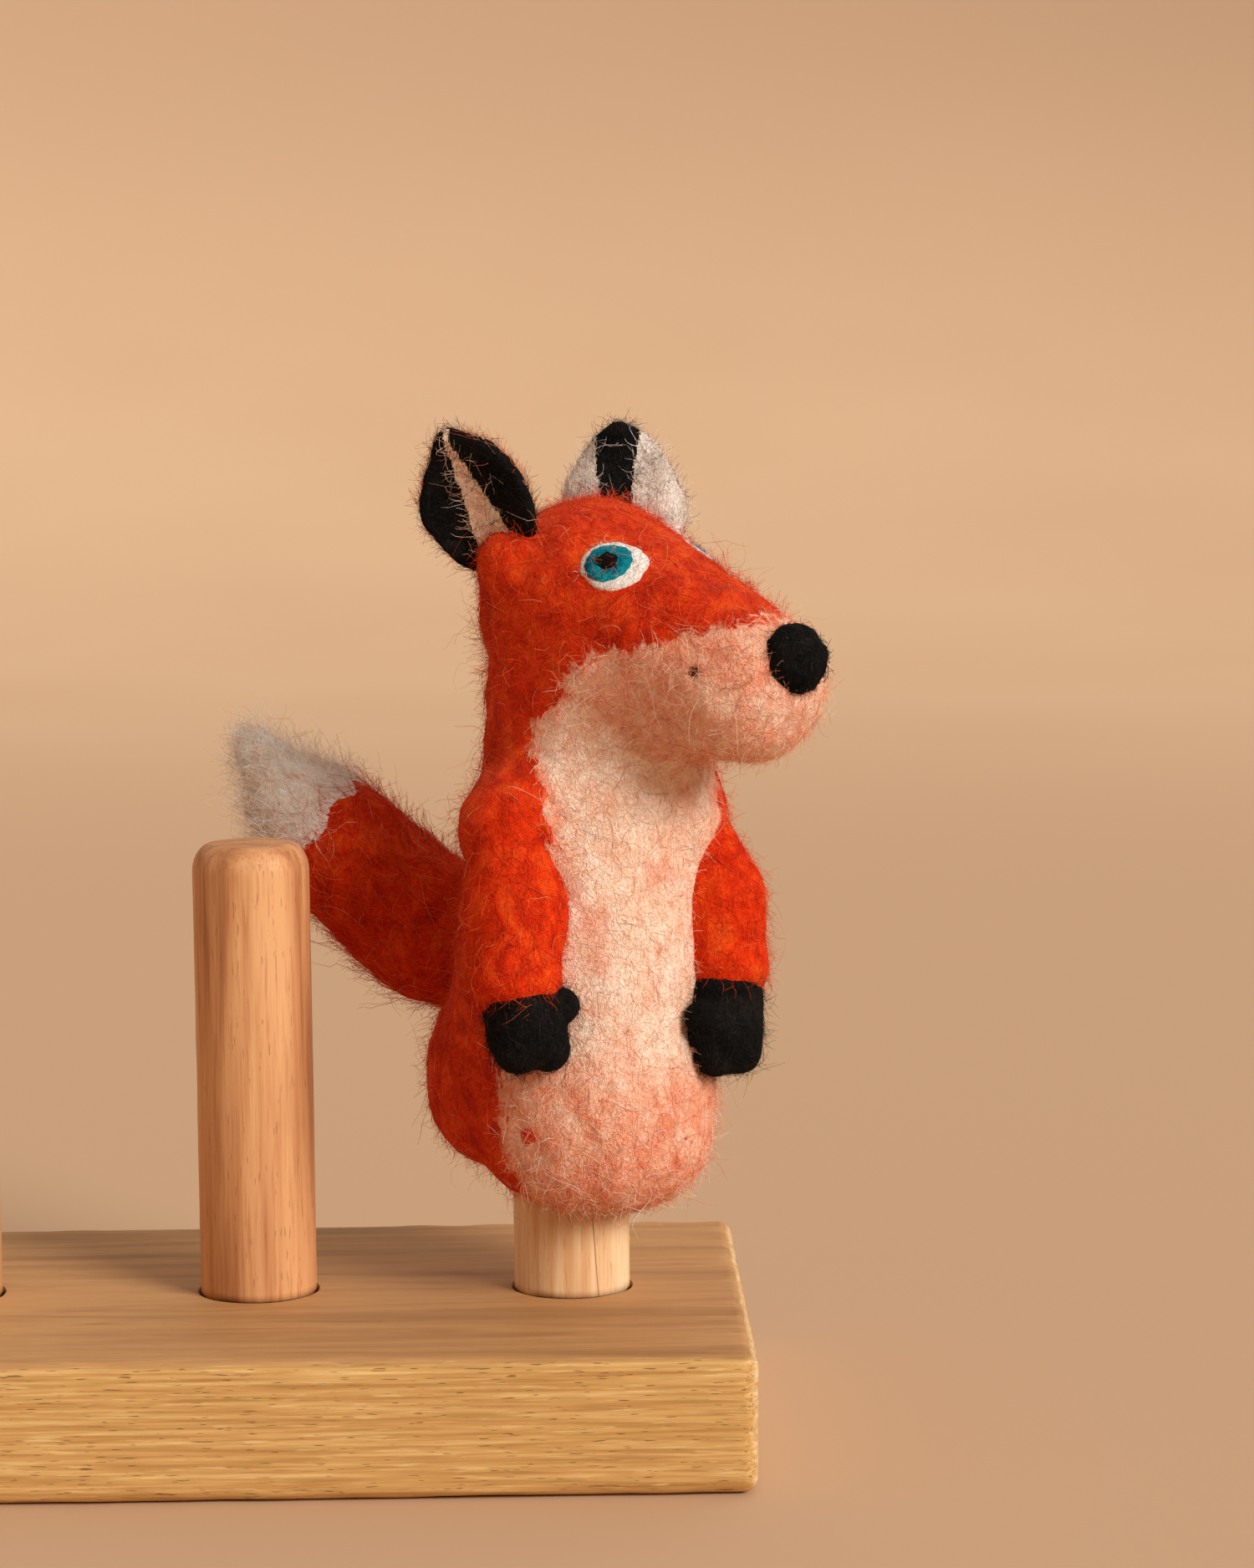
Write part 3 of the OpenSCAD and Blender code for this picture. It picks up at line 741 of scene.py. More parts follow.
def grow(field, roots, normals, style, rng):
    """Centre lines of curly fibres that start on the felt and rise off it little by little."""
    n = len(roots)
    heading = style.comb + rng.normal(0, style.stray, (n, 3))
    along = unit(heading - (heading * normals).sum(1, keepdims=True) * normals)
    side = np.cross(normals, along)
    length = style.length * rng.uniform(0.45, 1.5, n)
    s = np.linspace(0, 1, style.steps)
    waves, phase = rng.uniform(0.3, 1.15, n), rng.uniform(0, 1, n)
    sway = np.sin(2 * np.pi * (waves[:, None] * s + phase[:, None])) - np.sin(2 * np.pi * phase)[:, None]
    bend = rng.normal(0, 0.35, n)
    sideways = (style.curl * sway + bend[:, None] * s**2) * length[:, None]
    lines = (roots[:, None] + along[:, None] * (s * length[:, None])[..., None] * 0.85
             + side[:, None] * sideways[..., None])
    rise = style.rise * rng.uniform(0.1, 1.0, n) ** 2 * 2
    level = -0.15 + (rise[:, None] + 0.3) * s**1.2
    flat = settle(field, lines.reshape(-1, 3), level.ravel(), rounds=2, reach=3.0)
    return flat.reshape(n, style.steps, 3)


def tubes(lines, radius, rng):
    """Closed three-sided tubes round centre lines."""
    n, steps, _ = lines.shape
    ahead = unit(np.gradient(lines, axis=1))
    guide = unit(rng.normal(0, 1, (n, 1, 3)))
    across = unit(np.cross(ahead, guide))
    over = np.cross(across, ahead)
    s = np.linspace(0, 1, steps)
    taper = 0.3 + 0.7 * np.sin(np.pi * np.clip(s, 0.08, 0.94)) ** 0.5
    thick = radius * rng.uniform(0.55, 1.2, (n, 1)) * taper
    rings = []
    for corner in range(3):
        angle = 2 * np.pi * corner / 3
        rings.append(lines + thick[..., None] * (across * math.cos(angle) + over * math.sin(angle)))
    verts = np.stack(rings, 2).reshape(-1, 3)
    base = (np.arange(n) * steps * 3)[:, None]
    quads = []
    for i in range(steps - 1):
        for corner in range(3):
            after = (corner + 1) % 3
            quads.append(base + [i * 3 + corner, i * 3 + after, i * 3 + 3 + after, i * 3 + 3 + corner])
    last = (steps - 1) * 3
    caps = np.concatenate([base + [2, 1, 0], base + [last, last + 1, last + 2]])
    return verts, np.stack(quads, 1).reshape(-1, 4), caps


def fibre_piece(name, field, verts, faces, normals, styles, shares, wools, seed):
    """One object holding the loose fibres of a piece. Shares are the parts of each colour."""
    rng = np.random.default_rng(seed)
    points, quads, caps, quad_slots, cap_slots, start = [], [], [], [], [], 0
    weights = np.array(list(shares.values()), float)
    for style in styles:
        count = max(4, int(style.count * (1)))
        roots, out = scatter(verts, faces, normals, count, rng)
        v, q, c = tubes(grow(field, roots, out, style, rng), style.radius, rng)
        slots = rng.choice(len(weights), count, p=weights / weights.sum())
        points.append(v)
        quads.append(q + start)
        caps.append(c + start)
        quad_slots.append(np.repeat(slots, 3 * (style.steps - 1)))
        cap_slots.append(np.tile(slots, 2))
        start += len(v)
    obj = make_object(name, np.concatenate(points), [np.concatenate(quads), np.concatenate(caps)])
    paint(obj, *[wools[key] for key in shares])
    index = np.concatenate(quad_slots + cap_slots).astype(np.int32)
    obj.data.polygons.foreach_set("material_index", index)
    return obj


# ---- building the fox


def bend_at_neck(obj):
    """Bakes the object's transform into its mesh."""
    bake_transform(obj)


ORANGE_MIX = {"f_red": 5, "f_orange": 6, "f_amber": 2.6, "f_tan": 0.5, "f_dark": 0.15}
PALE_MIX = {"f_cream": 6, "f_peach": 4, "f_white": 2, "f_salmon": 1.2, "f_dark": 0.14}
MUZZLE_MIX = {"f_cream": 3.4, "f_peach": 5, "f_tan": 1.6, "f_salmon": 3, "f_dark": 0.16}
BELLY_MIX = {"f_cream": 3.5, "f_peach": 4, "f_salmon": 3.5, "f_white": 1.4, "f_orange": 1.0}
BLACK_MIX = {"f_black": 6, "f_grey": 0.8}


def coat(long_count, fuzz_count, comb=(0, 0, -1), wild=0):
    """Long fibres lying on the felt, short fuzz all over, and a few wild ones."""
    styles = [
        Fibres(long_count, 4.6, 0.35, 0.15, 0.029, 9, comb),
        Fibres(fuzz_count, 1.7, 1.0, 0.14, 0.021, 5, comb, 1.6),
    ]
    if wild:
        styles.append(Fibres(wild, 5.0, 2.1, 0.2, 0.023, 10, comb, 1.6))
    return styles


def riding(body):
    """A way to fix pieces to one body."""
    return lambda obj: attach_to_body(obj, body)


def dress(node, felt, hair, attach):
    """Sets a piece's felt and fibres on their body, in place of the CAD node."""
    for obj in (felt, hair):
        attach(obj)
    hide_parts(node)


def felt_piece(node, field, surface, material, attach, mix, styles, wools, seed):
    """A piece of felt, from its points, faces and normals, with its loose fibres."""
    verts, faces, normals = surface
    felt = paint(make_object(node + "_felt", verts, [faces], normals=normals), wools[material])
    hair = fibre_piece(node + "_fibres", field, *surface, styles, mix, wools, seed)
    dress(node, felt, hair, attach)


def whole_piece(node, field, box, cell, material, body, mix, styles, wools, seed):
    """A felt piece that is a field's whole surface."""
    verts, faces = skin_of(field, *box, cell * (1))
    surface = (verts, faces, vertex_normals(verts, faces))
    felt_piece(node, field, surface, material, riding(body), mix, styles, wools, seed)


def build_skin(wools):
    """Body and head as five pieces of one continuous felt."""
    verts, faces = skin_of(skin_field, (-21.5, -44, 9.5), (30, 23, 106), 0.55)
    normals = vertex_normals(verts, faces)
    _, pale, cream = region_of(verts)
    names, _, _ = region_of(verts[faces].mean(1))
    back_down, back_flat = HEAD_IN_BODY @ [0, 1, -0.5], HEAD_IN_BODY @ [0, 1, -0.4]
    plans = (
        ("torso", "wool_orange", ORANGE_MIX, coat(1900, 6000, (0, 0.1, -1), 420)),
        ("bib", "wool_cream", PALE_MIX, coat(800, 1800, (0, 0, -1), 50)),
        ("belly", "wool_peach", BELLY_MIX, coat(700, 1700, (0, 0, -1), 110)),
        ("head", "wool_orange", ORANGE_MIX, coat(1500, 4200, back_down, 300)),
        ("muzzle", "wool_peach", MUZZLE_MIX, coat(1100, 2400, back_flat, 160)),
    )
    for seed, (node, slot, mix, styles) in enumerate(plans, 100):
        v, f, n, p, c = cut_out(verts, faces, names == node, normals, pale, cream)
        felt = paint(make_object(node + "_felt", v, [f], normals=n, fields={"pale": p, "cream": c}),
                     wools["skin"])
        middles = v[f].mean(1)
        outer = np.hypot(middles[:, 0], middles[:, 1]) > POCKET_R + 0.5
        outer |= middles[:, 2] > POCKET_TOP + 2
        hair = fibre_piece(node + "_fibres", skin_field, v, f[outer], n, styles, mix, wools, seed)
        dress(node, felt, hair, bend_at_neck)


def box_round(points, reach):
    points = np.asarray(points)
    return points.min(0) - reach, points.max(0) + reach


# A paw's lumps: place from its middle, and size against its radius. The second is the thumb.
PAW_LUMPS = [((0, 0, 0), 1.0), ((-4.0, -1.8, 2.8), 0.48), ((1.8, -1, -2.3), 0.62), ((-2.2, -1.4, -2.5), 0.58)]


def build_arm(side, wools):
    arm, paw_node = "arm_" + SIDE_NAMES[side], "paw_" + SIDE_NAMES[side]
    shoulder, wrist = SHOULDERS[side] + ARM_SHIFT[side], mirrored(WRIST, side) + ARM_SHIFT[side]
    paw = mirrored(PAW, side) + PAW_DROP[side]
    elbow = (shoulder + wrist) / 2 + ELBOW_OUT[side]

    def arm_field(p):
        upper = round_cone(p, shoulder, SHOULDER_R, elbow, ELBOW_R)
        lower = round_cone(p, elbow, ELBOW_R, wrist, CUFF_R)
        return merge(upper, lower, 3.0) - felt_lumps(p, 31 + side, 0.8)

    def paw_field(p):
        d = None
        for shift, share in PAW_LUMPS:
            lump = ball(p, paw + mirrored(shift, side), PAW_R * share)
            d = lump if d is None else merge(d, lump, 0.7)
        cuff = round_cone(p, (wrist + paw) / 2, CUFF_R - 0.7, paw, PAW_R)
        return merge(d, cuff, 1.0) - felt_lumps(p, 41 + side, 0.6)

    whole_piece(arm, arm_field, box_round([shoulder, wrist, elbow], 8), 0.5, "orange", arm,
                ORANGE_MIX, coat(600, 1600, wild=90), wools, 200 + side)
    whole_piece(paw_node, paw_field, box_round([paw, wrist], 9), 0.42, "black", arm,
                BLACK_MIX, coat(260, 900, wild=30), wools, 210 + side)


# The tail's centre line from its root to its tip, and its radius there
TAIL_LINE = np.array([
    [0, 0, 0, 6.2], [-4.2, 7, 4, 8.8], [-10.6, 15, 10.5, 8.98], [-16.1, 20.6, 17.5, 7.74],
    [-20.6, 25, 23.5, 4.8], [-23.6, 28.5, 29.5, 2.2],
])
# The row where the white tip starts, and what leans its edge to the fox's right and back
TIP_FROM = 3
TIP_TILT = np.array([-0.36, 0.18, 0])


def tail_chain(p, rows):
    d = None
    for a, b in zip(rows[:-1], rows[1:]):
        part = round_cone(p, a[:3], a[3], b[:3], b[3])
        d = part if d is None else merge(d, part, 1.5)
    return d


def bend_at_tail(obj):
    """Bakes the object's transform into its mesh."""
    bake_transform(obj)


def build_tail(wools):
    line = TAIL_LINE.copy()
    line[:, :3] += TAIL_ROOT
    samples = 16
    curve = smooth_table(line, None, samples)
    split = int(round(TIP_FROM / (len(line) - 1) * (samples - 1)))
    cut = curve[split, :3]
    heading = unit(unit(curve[split + 1, :3] - curve[split - 1, :3]) + TIP_TILT)

    def whole(p):
        fluff = 0.7 * noise(p, 6.0, 51) + 0.35 * noise(p, 2.6, 52) + 0.15 * noise(p, 1.1, 53)
        return tail_chain(p, curve) - fluff

    def edge(p):
        return (p - cut) @ heading + 1.6 * noise(p, 3.0, 54)

    comb = unit(TAIL_LINE[4, :3] - TAIL_LINE[1, :3])
    red = [Fibres(1500, 6.0, 0.9, 0.10, 0.034, 7, comb, 0.5),
           Fibres(3600, 3.0, 1.5, 0.10, 0.024, 5, comb, 0.9),
           Fibres(200, 8.0, 3.2, 0.16, 0.026, 9, comb, 0.8)]
    white = [Fibres(1100, 6.0, 1.2, 0.14, 0.03, 7, comb, 0.6),
             Fibres(3000, 3.2, 2.0, 0.12, 0.022, 5, comb, 1.0),
             Fibres(240, 7.0, 3.6, 0.2, 0.024, 9, comb, 0.9)]
    verts, faces = skin_of(whole, *box_round(curve[:, :3], 11), 0.65)
    normals = vertex_normals(verts, faces)
    past = edge(verts[faces].mean(1)) > 0
    for node, keep, material, slot, mix, styles, seed in (
        ("tail", ~past, "orange", "wool_orange", ORANGE_MIX, red, 221),
        ("tail_tip", past, "tip", "wool_white", {"f_white": 5, "f_cream": 2, "f_tan": 0.6}, white, 222),
    ):
        surface = cut_out(verts, faces, keep, normals)
        felt_piece(node, whole, surface, material, bend_at_tail, mix, styles, wools, seed)


# ---- ears

# Length, thickness, and radius of the hollow; then each ear's width, and the height where it is widest
EAR_L, EAR_T, CUP_R = 18.0, 2.2, 12.0
EAR_W = {RIGHT: 14.6, LEFT: 17.0}
WIDEST_Z = {RIGHT: EAR_L * 0.42, LEFT: EAR_L * 0.3}
# How each ear leans out and back, and how far round both turn from facing straight out
EAR_ALONG = np.array([5.9, 4.6, 15.7])
EARS_TURN = math.radians(25)
# Where the black rim starts from the middle of the hollow, and the width of the stripe behind it
RIM_FROM, STRIPE_W = 2.2, 4.6


def turn_x(angle):
    c, s = math.cos(angle), math.sin(angle)
    return np.array([[1, 0, 0], [0, c, -s], [0, s, c]])


def turn_y(angle):
    c, s = math.cos(angle), math.sin(angle)
    return np.array([[c, 0, s], [0, 1, 0], [-s, 0, c]])


def ear_turn(side):
    """Turn from the ear's frame (Z along it, Y out of its hollow) to the head frame."""
    lean_out = math.atan2(EAR_ALONG[0], EAR_ALONG[2])
    lean_back = math.atan2(EAR_ALONG[1], EAR_ALONG[2])
    return turn_y(side * lean_out) @ turn_x(-lean_back) @ turn_z(EARS_TURN - side * math.pi / 2)


def ear_place(p, side):
    """Points of the body frame in the ear's frame."""
    return (body_to_head(p) - mirrored(EAR_BASE, side)) @ ear_turn(side)


def ear_field(p, side):
    """A cupped leaf of felt with round edges, which runs down into the head."""
    q = ear_place(p, side)
    bowl = np.hypot(q[:, 0], np.minimum(q[:, 1] - CUP_R, 0)) - (CUP_R + EAR_T / 2)
    sheet = np.maximum(np.abs(bowl) - EAR_T / 2 - 0.25, q[:, 1] - CUP_R)
    wobble = 0.35 * noise(p, 3.5, 61 + side)
    half = EAR_W[side] / 2
    leaf_r = ((EAR_L - WIDEST_Z[side]) ** 2 + half**2) / (2 * half)
    arcs = [np.hypot(q[:, 0] - way * (half - leaf_r), q[:, 2] - WIDEST_Z[side]) - leaf_r for way in (-1, 1)]
    leaf = -merge(-arcs[0], -arcs[1], 0.8) + wobble
    root = -5.0 - q[:, 2]
    d = -merge(-sheet, -leaf, 1.6)
    return np.maximum(d, root) - felt_lumps(p, 71 + side, 0.5)


def ear_regions(p, side):
    """Which of the ear's five nodes each point belongs to."""
    q = ear_place(p, side)
    layer = np.hypot(q[:, 0], q[:, 1] - CUP_R) - CUP_R
    jitter = 0.35 * noise(p, 1.2, 81)
    narrow = np.clip(1.25 - 0.07 * np.maximum(q[:, 2] - 1, 0), 0.2, 1.2)
    across = q[:, 0] + jitter
    names = np.full(len(p), "ear", dtype=object)
    hollow = layer < EAR_T * 0.45
    # The near ear's black runs over one of its edges
    wrapped = hollow | ((across < -EAR_W[side] * 0.3) & (layer < EAR_T * 0.9) & (side == RIGHT))
    names[wrapped & (across > RIM_FROM * narrow)] = "plus_rim"
    names[wrapped & (across < -RIM_FROM * narrow)] = "minus_rim"
    names[hollow & (np.abs(across) <= RIM_FROM * narrow)] = "lining"
    striped = np.abs(across) < STRIPE_W / 2 * (0.75 + 0.035 * q[:, 2])
    names[~hollow & striped & (q[:, 2] > -1)] = "stripe"
    return names


def build_ear(side, wools):
    name = "ear_" + SIDE_NAMES[side]

    def field(p):
        return ear_field(p, side)

    base = head_to_body(mirrored(EAR_BASE, side))
    tip = head_to_body(mirrored(EAR_BASE, side) + ear_turn(side) @ np.array([0, 0, EAR_L]))
    verts, faces = skin_of(field, *box_round([base, tip], 11), 0.36)
    normals = vertex_normals(verts, faces)
    regions = ear_regions(verts[faces].mean(1), side)
    front, rear = ("plus_rim", "minus_rim") if side > 0 else ("minus_rim", "plus_rim")
    comb = head_to_body(ear_turn(side) @ np.array([0, 0, 1.0])) - head_to_body(np.zeros(3))
    far_mix = {"f_white": 5, "f_cream": 3, "f_dark": 1.2, "f_grey": 0.8}
    near_mix = {"f_tan": 3, "f_peach": 3, "f_amber": 2, "f_orange": 2}
    back, back_mix = ("far_ear", far_mix) if side > 0 else ("near_ear", near_mix)
    lining_mix = {"f_cream": 4, "f_peach": 3, "f_dark": 1.0, "f_white": 1}
    plans = (
        (name, "ear", back, "wool_cream", back_mix, 500),
        (name + "_lining", "lining", "ear_lining", "wool_peach", lining_mix, 130),
        (name + "_front_rim", front, "black", "wool_black", BLACK_MIX, 170),
        (name + "_back_rim", rear, "black", "wool_black", BLACK_MIX, 170),
        (name + "_stripe", "stripe", "black", "wool_black", BLACK_MIX, 130),
    )
    for order, (node, region, material, slot, mix, count) in enumerate(plans):
        surface = cut_out(verts, faces, regions == region, normals)
        styles = [Fibres(count, 3.4, 0.35, 0.16, 0.028, 7, comb, 0.8),
                  Fibres(2 * count, 1.6, 0.9, 0.14, 0.021, 5, comb, 1.4)]
        felt_piece(node, field, surface, material, riding(name), mix, styles, wools,
                   300 + 10 * side + order)


# ---- face

# The left eye's middle and the way it faces, then the nose, all in the head frame
EYE_PLACE, EYE_OUT = np.array([8.4, -11.2, 6.4]), np.array([0.65, -0.42, 0.64])
EYE_W, EYE_H = 9.2, 7.6
NOSE, NOSE_W, NOSE_H = np.array([-0.9, -33.6, -4.8]), 8.2, 8.9


def eye_axes(side):
    """Out of the eye, forward along its width, and up its height, in the head frame."""
    out = unit(mirrored(EYE_OUT, side))
    forward = unit(side * np.cross(np.array([0, 0, 1.0]), out))
    forward = forward if forward[1] < 0 else -forward
    up = np.cross(out, forward)
    return out, forward, up if up[2] > 0 else -up


def patch(node, side, centre, width, height, low, high, material, wools, seed, mix, count):
    """A small pad of wool needled onto the head, domed from its edge to its middle."""
    out, forward, up = eye_axes(side)
    spokes, rings = 56, 9
    angle = np.linspace(0, 2 * np.pi, spokes, endpoint=False)
    rng = np.random.default_rng(seed)
    ragged = 1 + sum(rng.normal(0, 0.024 / math.sqrt(k)) * np.sin(k * angle + rng.uniform(0, 6.3))
                     for k in range(2, 15))
    rows, levels = [], []
    for i in range(rings + 1):
        share = i / rings
        r = share * ragged if i else np.zeros(spokes)
        flat = (centre + np.outer(r * np.cos(angle) * width / 2, forward)
                + np.outer(r * np.sin(angle) * height / 2, up))
        rows.append(flat)
        levels.append(np.full(spokes, low - 0.25 + (high - low + 0.25) * (1 - share**4) ** 0.6))
    flat = head_to_body(np.concatenate(rows))
    top = settle(lambda p: head_field(p) - felt_lumps(p), flat, np.concatenate(levels), rounds=4, reach=4.0)
    facing = unit(head_to_body(out) - SKULL)
    top += 0.05 * noise(top, 0.7, seed)[:, None] * facing
    i = np.arange(spokes)
    j = (i + 1) % spokes
    quads = ring_quads(1, rings, spokes)
    fan = np.stack([np.zeros(spokes, int), spokes + i, spokes + j], 1)
    under = head_to_body(centre) - 1.2 * facing
    verts = np.vstack([top, under])
    floor = np.stack([rings * spokes + j, rings * spokes + i, np.full(spokes, len(top))], 1)
    corner, after, before = (verts[quads[0, k]] for k in (0, 1, 3))
    if np.dot(np.cross(after - corner, before - corner), facing) < 0:
        quads, fan, floor = quads[:, ::-1], fan[:, ::-1], floor[:, ::-1]
    felt = paint(make_object(node + "_felt", verts, [quads, fan, floor]), wools[material])
    styles = [Fibres(count, 1.0, 0.06, 0.14, 0.022, 6, forward, 1.6)]
    hair = fibre_piece(node + "_fibres", lambda p: head_field(p) - felt_lumps(p) - high, verts, quads,
                       np.tile(facing, (len(verts), 1)), styles, mix, wools, seed + 1)
    dress(node, felt, hair, riding("head"))


# Each layer of an eye: width and height, its edge's and middle's height off the head, how far back it
# sits, and its material, slot, fibre mix and fibre count
EYE_LAYERS = (
    ("eye_white", EYE_W, EYE_H * 1.1, 0.0, 0.5, 0.0, "white", "wool_white", {"f_white": 1}, 70),
    ("iris", EYE_W * 0.73, EYE_H * 0.8, 0.3, 0.78, 0.6, "teal", "wool_teal",
     {"f_teal": 5, "f_black": 0.6}, 70),
    ("pupil", EYE_W * 0.37, EYE_H * 0.38, 0.6, 1.02, 0.7, "black", "wool_black", {"f_black": 1}, 30),
)


def build_eyes(wools):
    for side in (RIGHT, LEFT):
        _, forward, _ = eye_axes(side)
        for layer, w, h, low, high, back, material, slot, mix, count in EYE_LAYERS:
            centre = mirrored(EYE_PLACE, side) - forward * back
            patch(f"{layer}_{SIDE_NAMES[side]}", side, centre, w, h, low, high, material, wools,
                  400 + 20 * side + int(high * 10), mix, count)


def build_nose(wools):
    radii = np.array([NOSE_W / 2, NOSE_W / 2, NOSE_H / 2])

    def field(p):
        return ellipsoid(body_to_head(p), NOSE, radii) - 0.22 * noise(p, 1.5, 91) - 0.12 * noise(p, 0.7, 92)

    styles = [Fibres(420, 2.0, 0.3, 0.14, 0.034, 5, (0, 0, -1), 1.6),
              Fibres(300, 0.9, 0.6, 0.1, 0.03, 4, (0, 0, -1), 1.6)]
    whole_piece("nose", field, box_round([head_to_body(NOSE)], 6), 0.3, "black", "head",
                BLACK_MIX, styles, wools, 230)


def build_mouth(wools):
    """The one dark stitch in the cheek."""
    def field(p):
        knot = ellipsoid(body_to_head(p), MOUTH + np.array([0.7, 0, 0]), np.array([0.95, 0.85, 0.95]))
        return knot - 0.12 * noise(p, 0.6, 93)

    whole_piece("mouth_stitch", field, box_round([head_to_body(MOUTH)], 2.2), 0.14, "black", "head",
                {"f_dark": 2, "f_black": 2},
                [Fibres(24, 1.4, 0.3, 0.1, 0.03, 5, (0, 0, -1), 1.6)], wools, 231)


# ---- the stand


def block_mesh(low, high, bevel, cell):
    """A block with worn, rounded edges, as a grid wrapped over its six sides (row frame, mm)."""
    size = high - low
    counts = np.maximum(2, np.round(size / cell)).astype(int)
    verts, faces, start = [], [], 0
    for axis in range(3):
        u, v = (axis + 1) % 3, (axis + 2) % 3
        for end in (0, 1):
            a = grid_line(low[u], high[u], counts[u], bevel)
            b = grid_line(low[v], high[v], counts[v], bevel)
            ga, gb = np.meshgrid(a, b, indexing="ij")
            p = np.empty((ga.size, 3))
            p[:, u], p[:, v] = ga.ravel(), gb.ravel()
            p[:, axis] = (low, high)[end][axis]
            verts.append(p)
            n, m = len(a), len(b)
            i, j = np.meshgrid(np.arange(n - 1), np.arange(m - 1), indexing="ij")
            c = (i * m + j).ravel() + start
            quad = np.stack([c, c + m, c + m + 1, c + 1], 1)
            faces.append(quad if end else quad[:, ::-1])
            start += n * m
    points = np.concatenate(verts)
    core = np.clip(points, low + bevel, high - bevel)
    away = points - core
    far = np.linalg.norm(away, axis=1)
    on_edge = (np.abs(away) > 1e-6).sum(1) > 1
    rounded = core + away / np.maximum(far, 1e-9)[:, None] * bevel
    points = np.where((far > 1e-9)[:, None], rounded, points)
    wear = 0.16 * noise(points * [0.3, 1, 1], 1.6, 95) + 0.5 * np.minimum(noise(points, 2.2, 96) + 0.55, 0)
    worn = points + unit(away) * (wear * on_edge)[:, None] * 0.8
    worn += unit(away) * (0.05 * noise(points * [0.08, 1, 1], 0.9, 97) * (far > 1e-9))[:, None]
    return worn, np.concatenate(faces)


def grid_line(low, high, count, bevel):
    """Places along one side, closer together over the rounded edges."""
    turn = bevel * np.tan(np.linspace(0, 1, 6) * math.pi / 4)
    middle = np.linspace(low + bevel, high - bevel, count)
    return np.concatenate([low + bevel - turn[::-1], middle[1:-1], high - bevel + turn])


def lathe(profile, centre, sides, wobble, seed):
    """A turned solid about a vertical axis, hand-sanded a little out of true (row frame, mm)."""
    profile = np.asarray(profile, float)
    angle = np.linspace(0, 2 * np.pi, sides, endpoint=False)
    ring = np.stack([np.cos(angle), np.sin(angle), np.zeros(sides)], 1)
    rings = [ring * r + np.array([0, 0, z]) for r, z in profile]
    verts = np.concatenate(rings)
    push = wobble * (noise(verts * [1, 1, 0.15], 4.0, seed)
                     + 0.5 * noise(verts * [1, 1, 0.4], 1.2, seed + 1))
    flat = verts * [1, 1, 0]
    verts = verts + unit(flat) * push[:, None] * (np.linalg.norm(flat, axis=1) > 0.5)[:, None] + centre
    i = np.arange(sides)
    j = (i + 1) % sides
    quads = ring_quads(0, len(profile) - 1, sides)[:, [0, 3, 2, 1]]
    top = len(verts)
    verts = np.vstack([verts, centre + [0, 0, profile[0, 1]], centre + [0, 0, profile[-1, 1]]])
    lower = np.stack([j, i, np.full(sides, top)], 1)
    last = (len(profile) - 1) * sides
    upper = np.stack([last + i, last + j, np.full(sides, top + 1)], 1)
    return verts, [quads, lower, upper]


def apply_cut(obj, cutter):
    """Takes a cutter out of an object, and removes the cutter."""
    modifier = obj.modifiers.new("hole", "BOOLEAN")
    modifier.operation, modifier.object, modifier.solver = "DIFFERENCE", cutter, "EXACT"
    graph = bpy.context.evaluated_depsgraph_get()
    cut = bpy.data.meshes.new_from_object(obj.evaluated_get(graph))
    obj.modifiers.clear()
    obj.data = cut
    bpy.data.objects.remove(cutter)


# The block's rounded edges and its peg holes
BEVEL, HOLE_R, HOLE_DEPTH = 1.9, 7.75, 12.0


def build_block(peg_centres):
    low, high = (np.array(corner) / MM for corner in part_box("base_block"))
    verts, faces = block_mesh(low, high, BEVEL, 1.3)
    block = make_object("stand_block", verts, [faces], to_row=False)
    merge_doubles(block, 0.02 * MM)
    for centre in peg_centres:
        floor = high[2] - HOLE_DEPTH
        profile = [(HOLE_R, floor), (HOLE_R, high[2] - 0.35), (HOLE_R + 0.12, high[2] - 0.12),
                   (HOLE_R + 0.45, high[2] + 0.4), (HOLE_R + 0.45, high[2] + 3)]
        v, parts = lathe(profile, np.array([centre[0], centre[1], 0]), 96, 0.05, 98)
        apply_cut(block, make_object("hole_cutter", v, parts, to_row=False))
    block.data.set_sharp_from_angle(angle=math.radians(40))
    paint(block, block_wood())
    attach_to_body(block, "stand")
    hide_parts("base_block")


def merge_doubles(obj, distance):
    bm = bmesh.new()
    bm.from_mesh(obj.data)
    bmesh.ops.remove_doubles(bm, verts=bm.verts, dist=distance)
    bmesh.ops.recalc_face_normals(bm, faces=bm.faces)
    bm.to_mesh(obj.data)
    bm.free()
    obj.data.polygons.foreach_set("use_smooth", np.full(len(obj.data.polygons), True))


def build_peg(node, material, seed):
    """A dowel from its foot in the hole to its rounded, flat-topped end."""
    low, high = (np.array(corner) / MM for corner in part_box(node))
    centre = np.array([(low[0] + high[0]) / 2, (low[1] + high[1]) / 2, 0])
    r = (high[0] - low[0]) / 2
    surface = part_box("base_block")[1].z / MM
    flat_r, round_h = r * 0.66, 3.6
    profile = [(r - 1.1, low[2]), (r - 0.3, low[2] + 0.8), (r - 0.3, surface - 0.05), (r, surface + 0.02)]
    profile += [(r, z) for z in np.linspace(surface + 1, high[2] - round_h, 40)]
    profile += [(flat_r + (r - flat_r) * math.cos(a), high[2] - round_h + round_h * math.sin(a))
                for a in np.linspace(0.15, math.pi / 2, 10)]
    profile += [(flat_r * share, high[2] + 0.02) for share in (0.75, 0.5, 0.25)]
    v, parts = lathe(profile, centre, 96, 0.06, seed)
    peg = paint(make_object(node + "_wood", v, parts, to_row=False), material)
    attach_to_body(peg, node)
    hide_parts(node)
    return centre


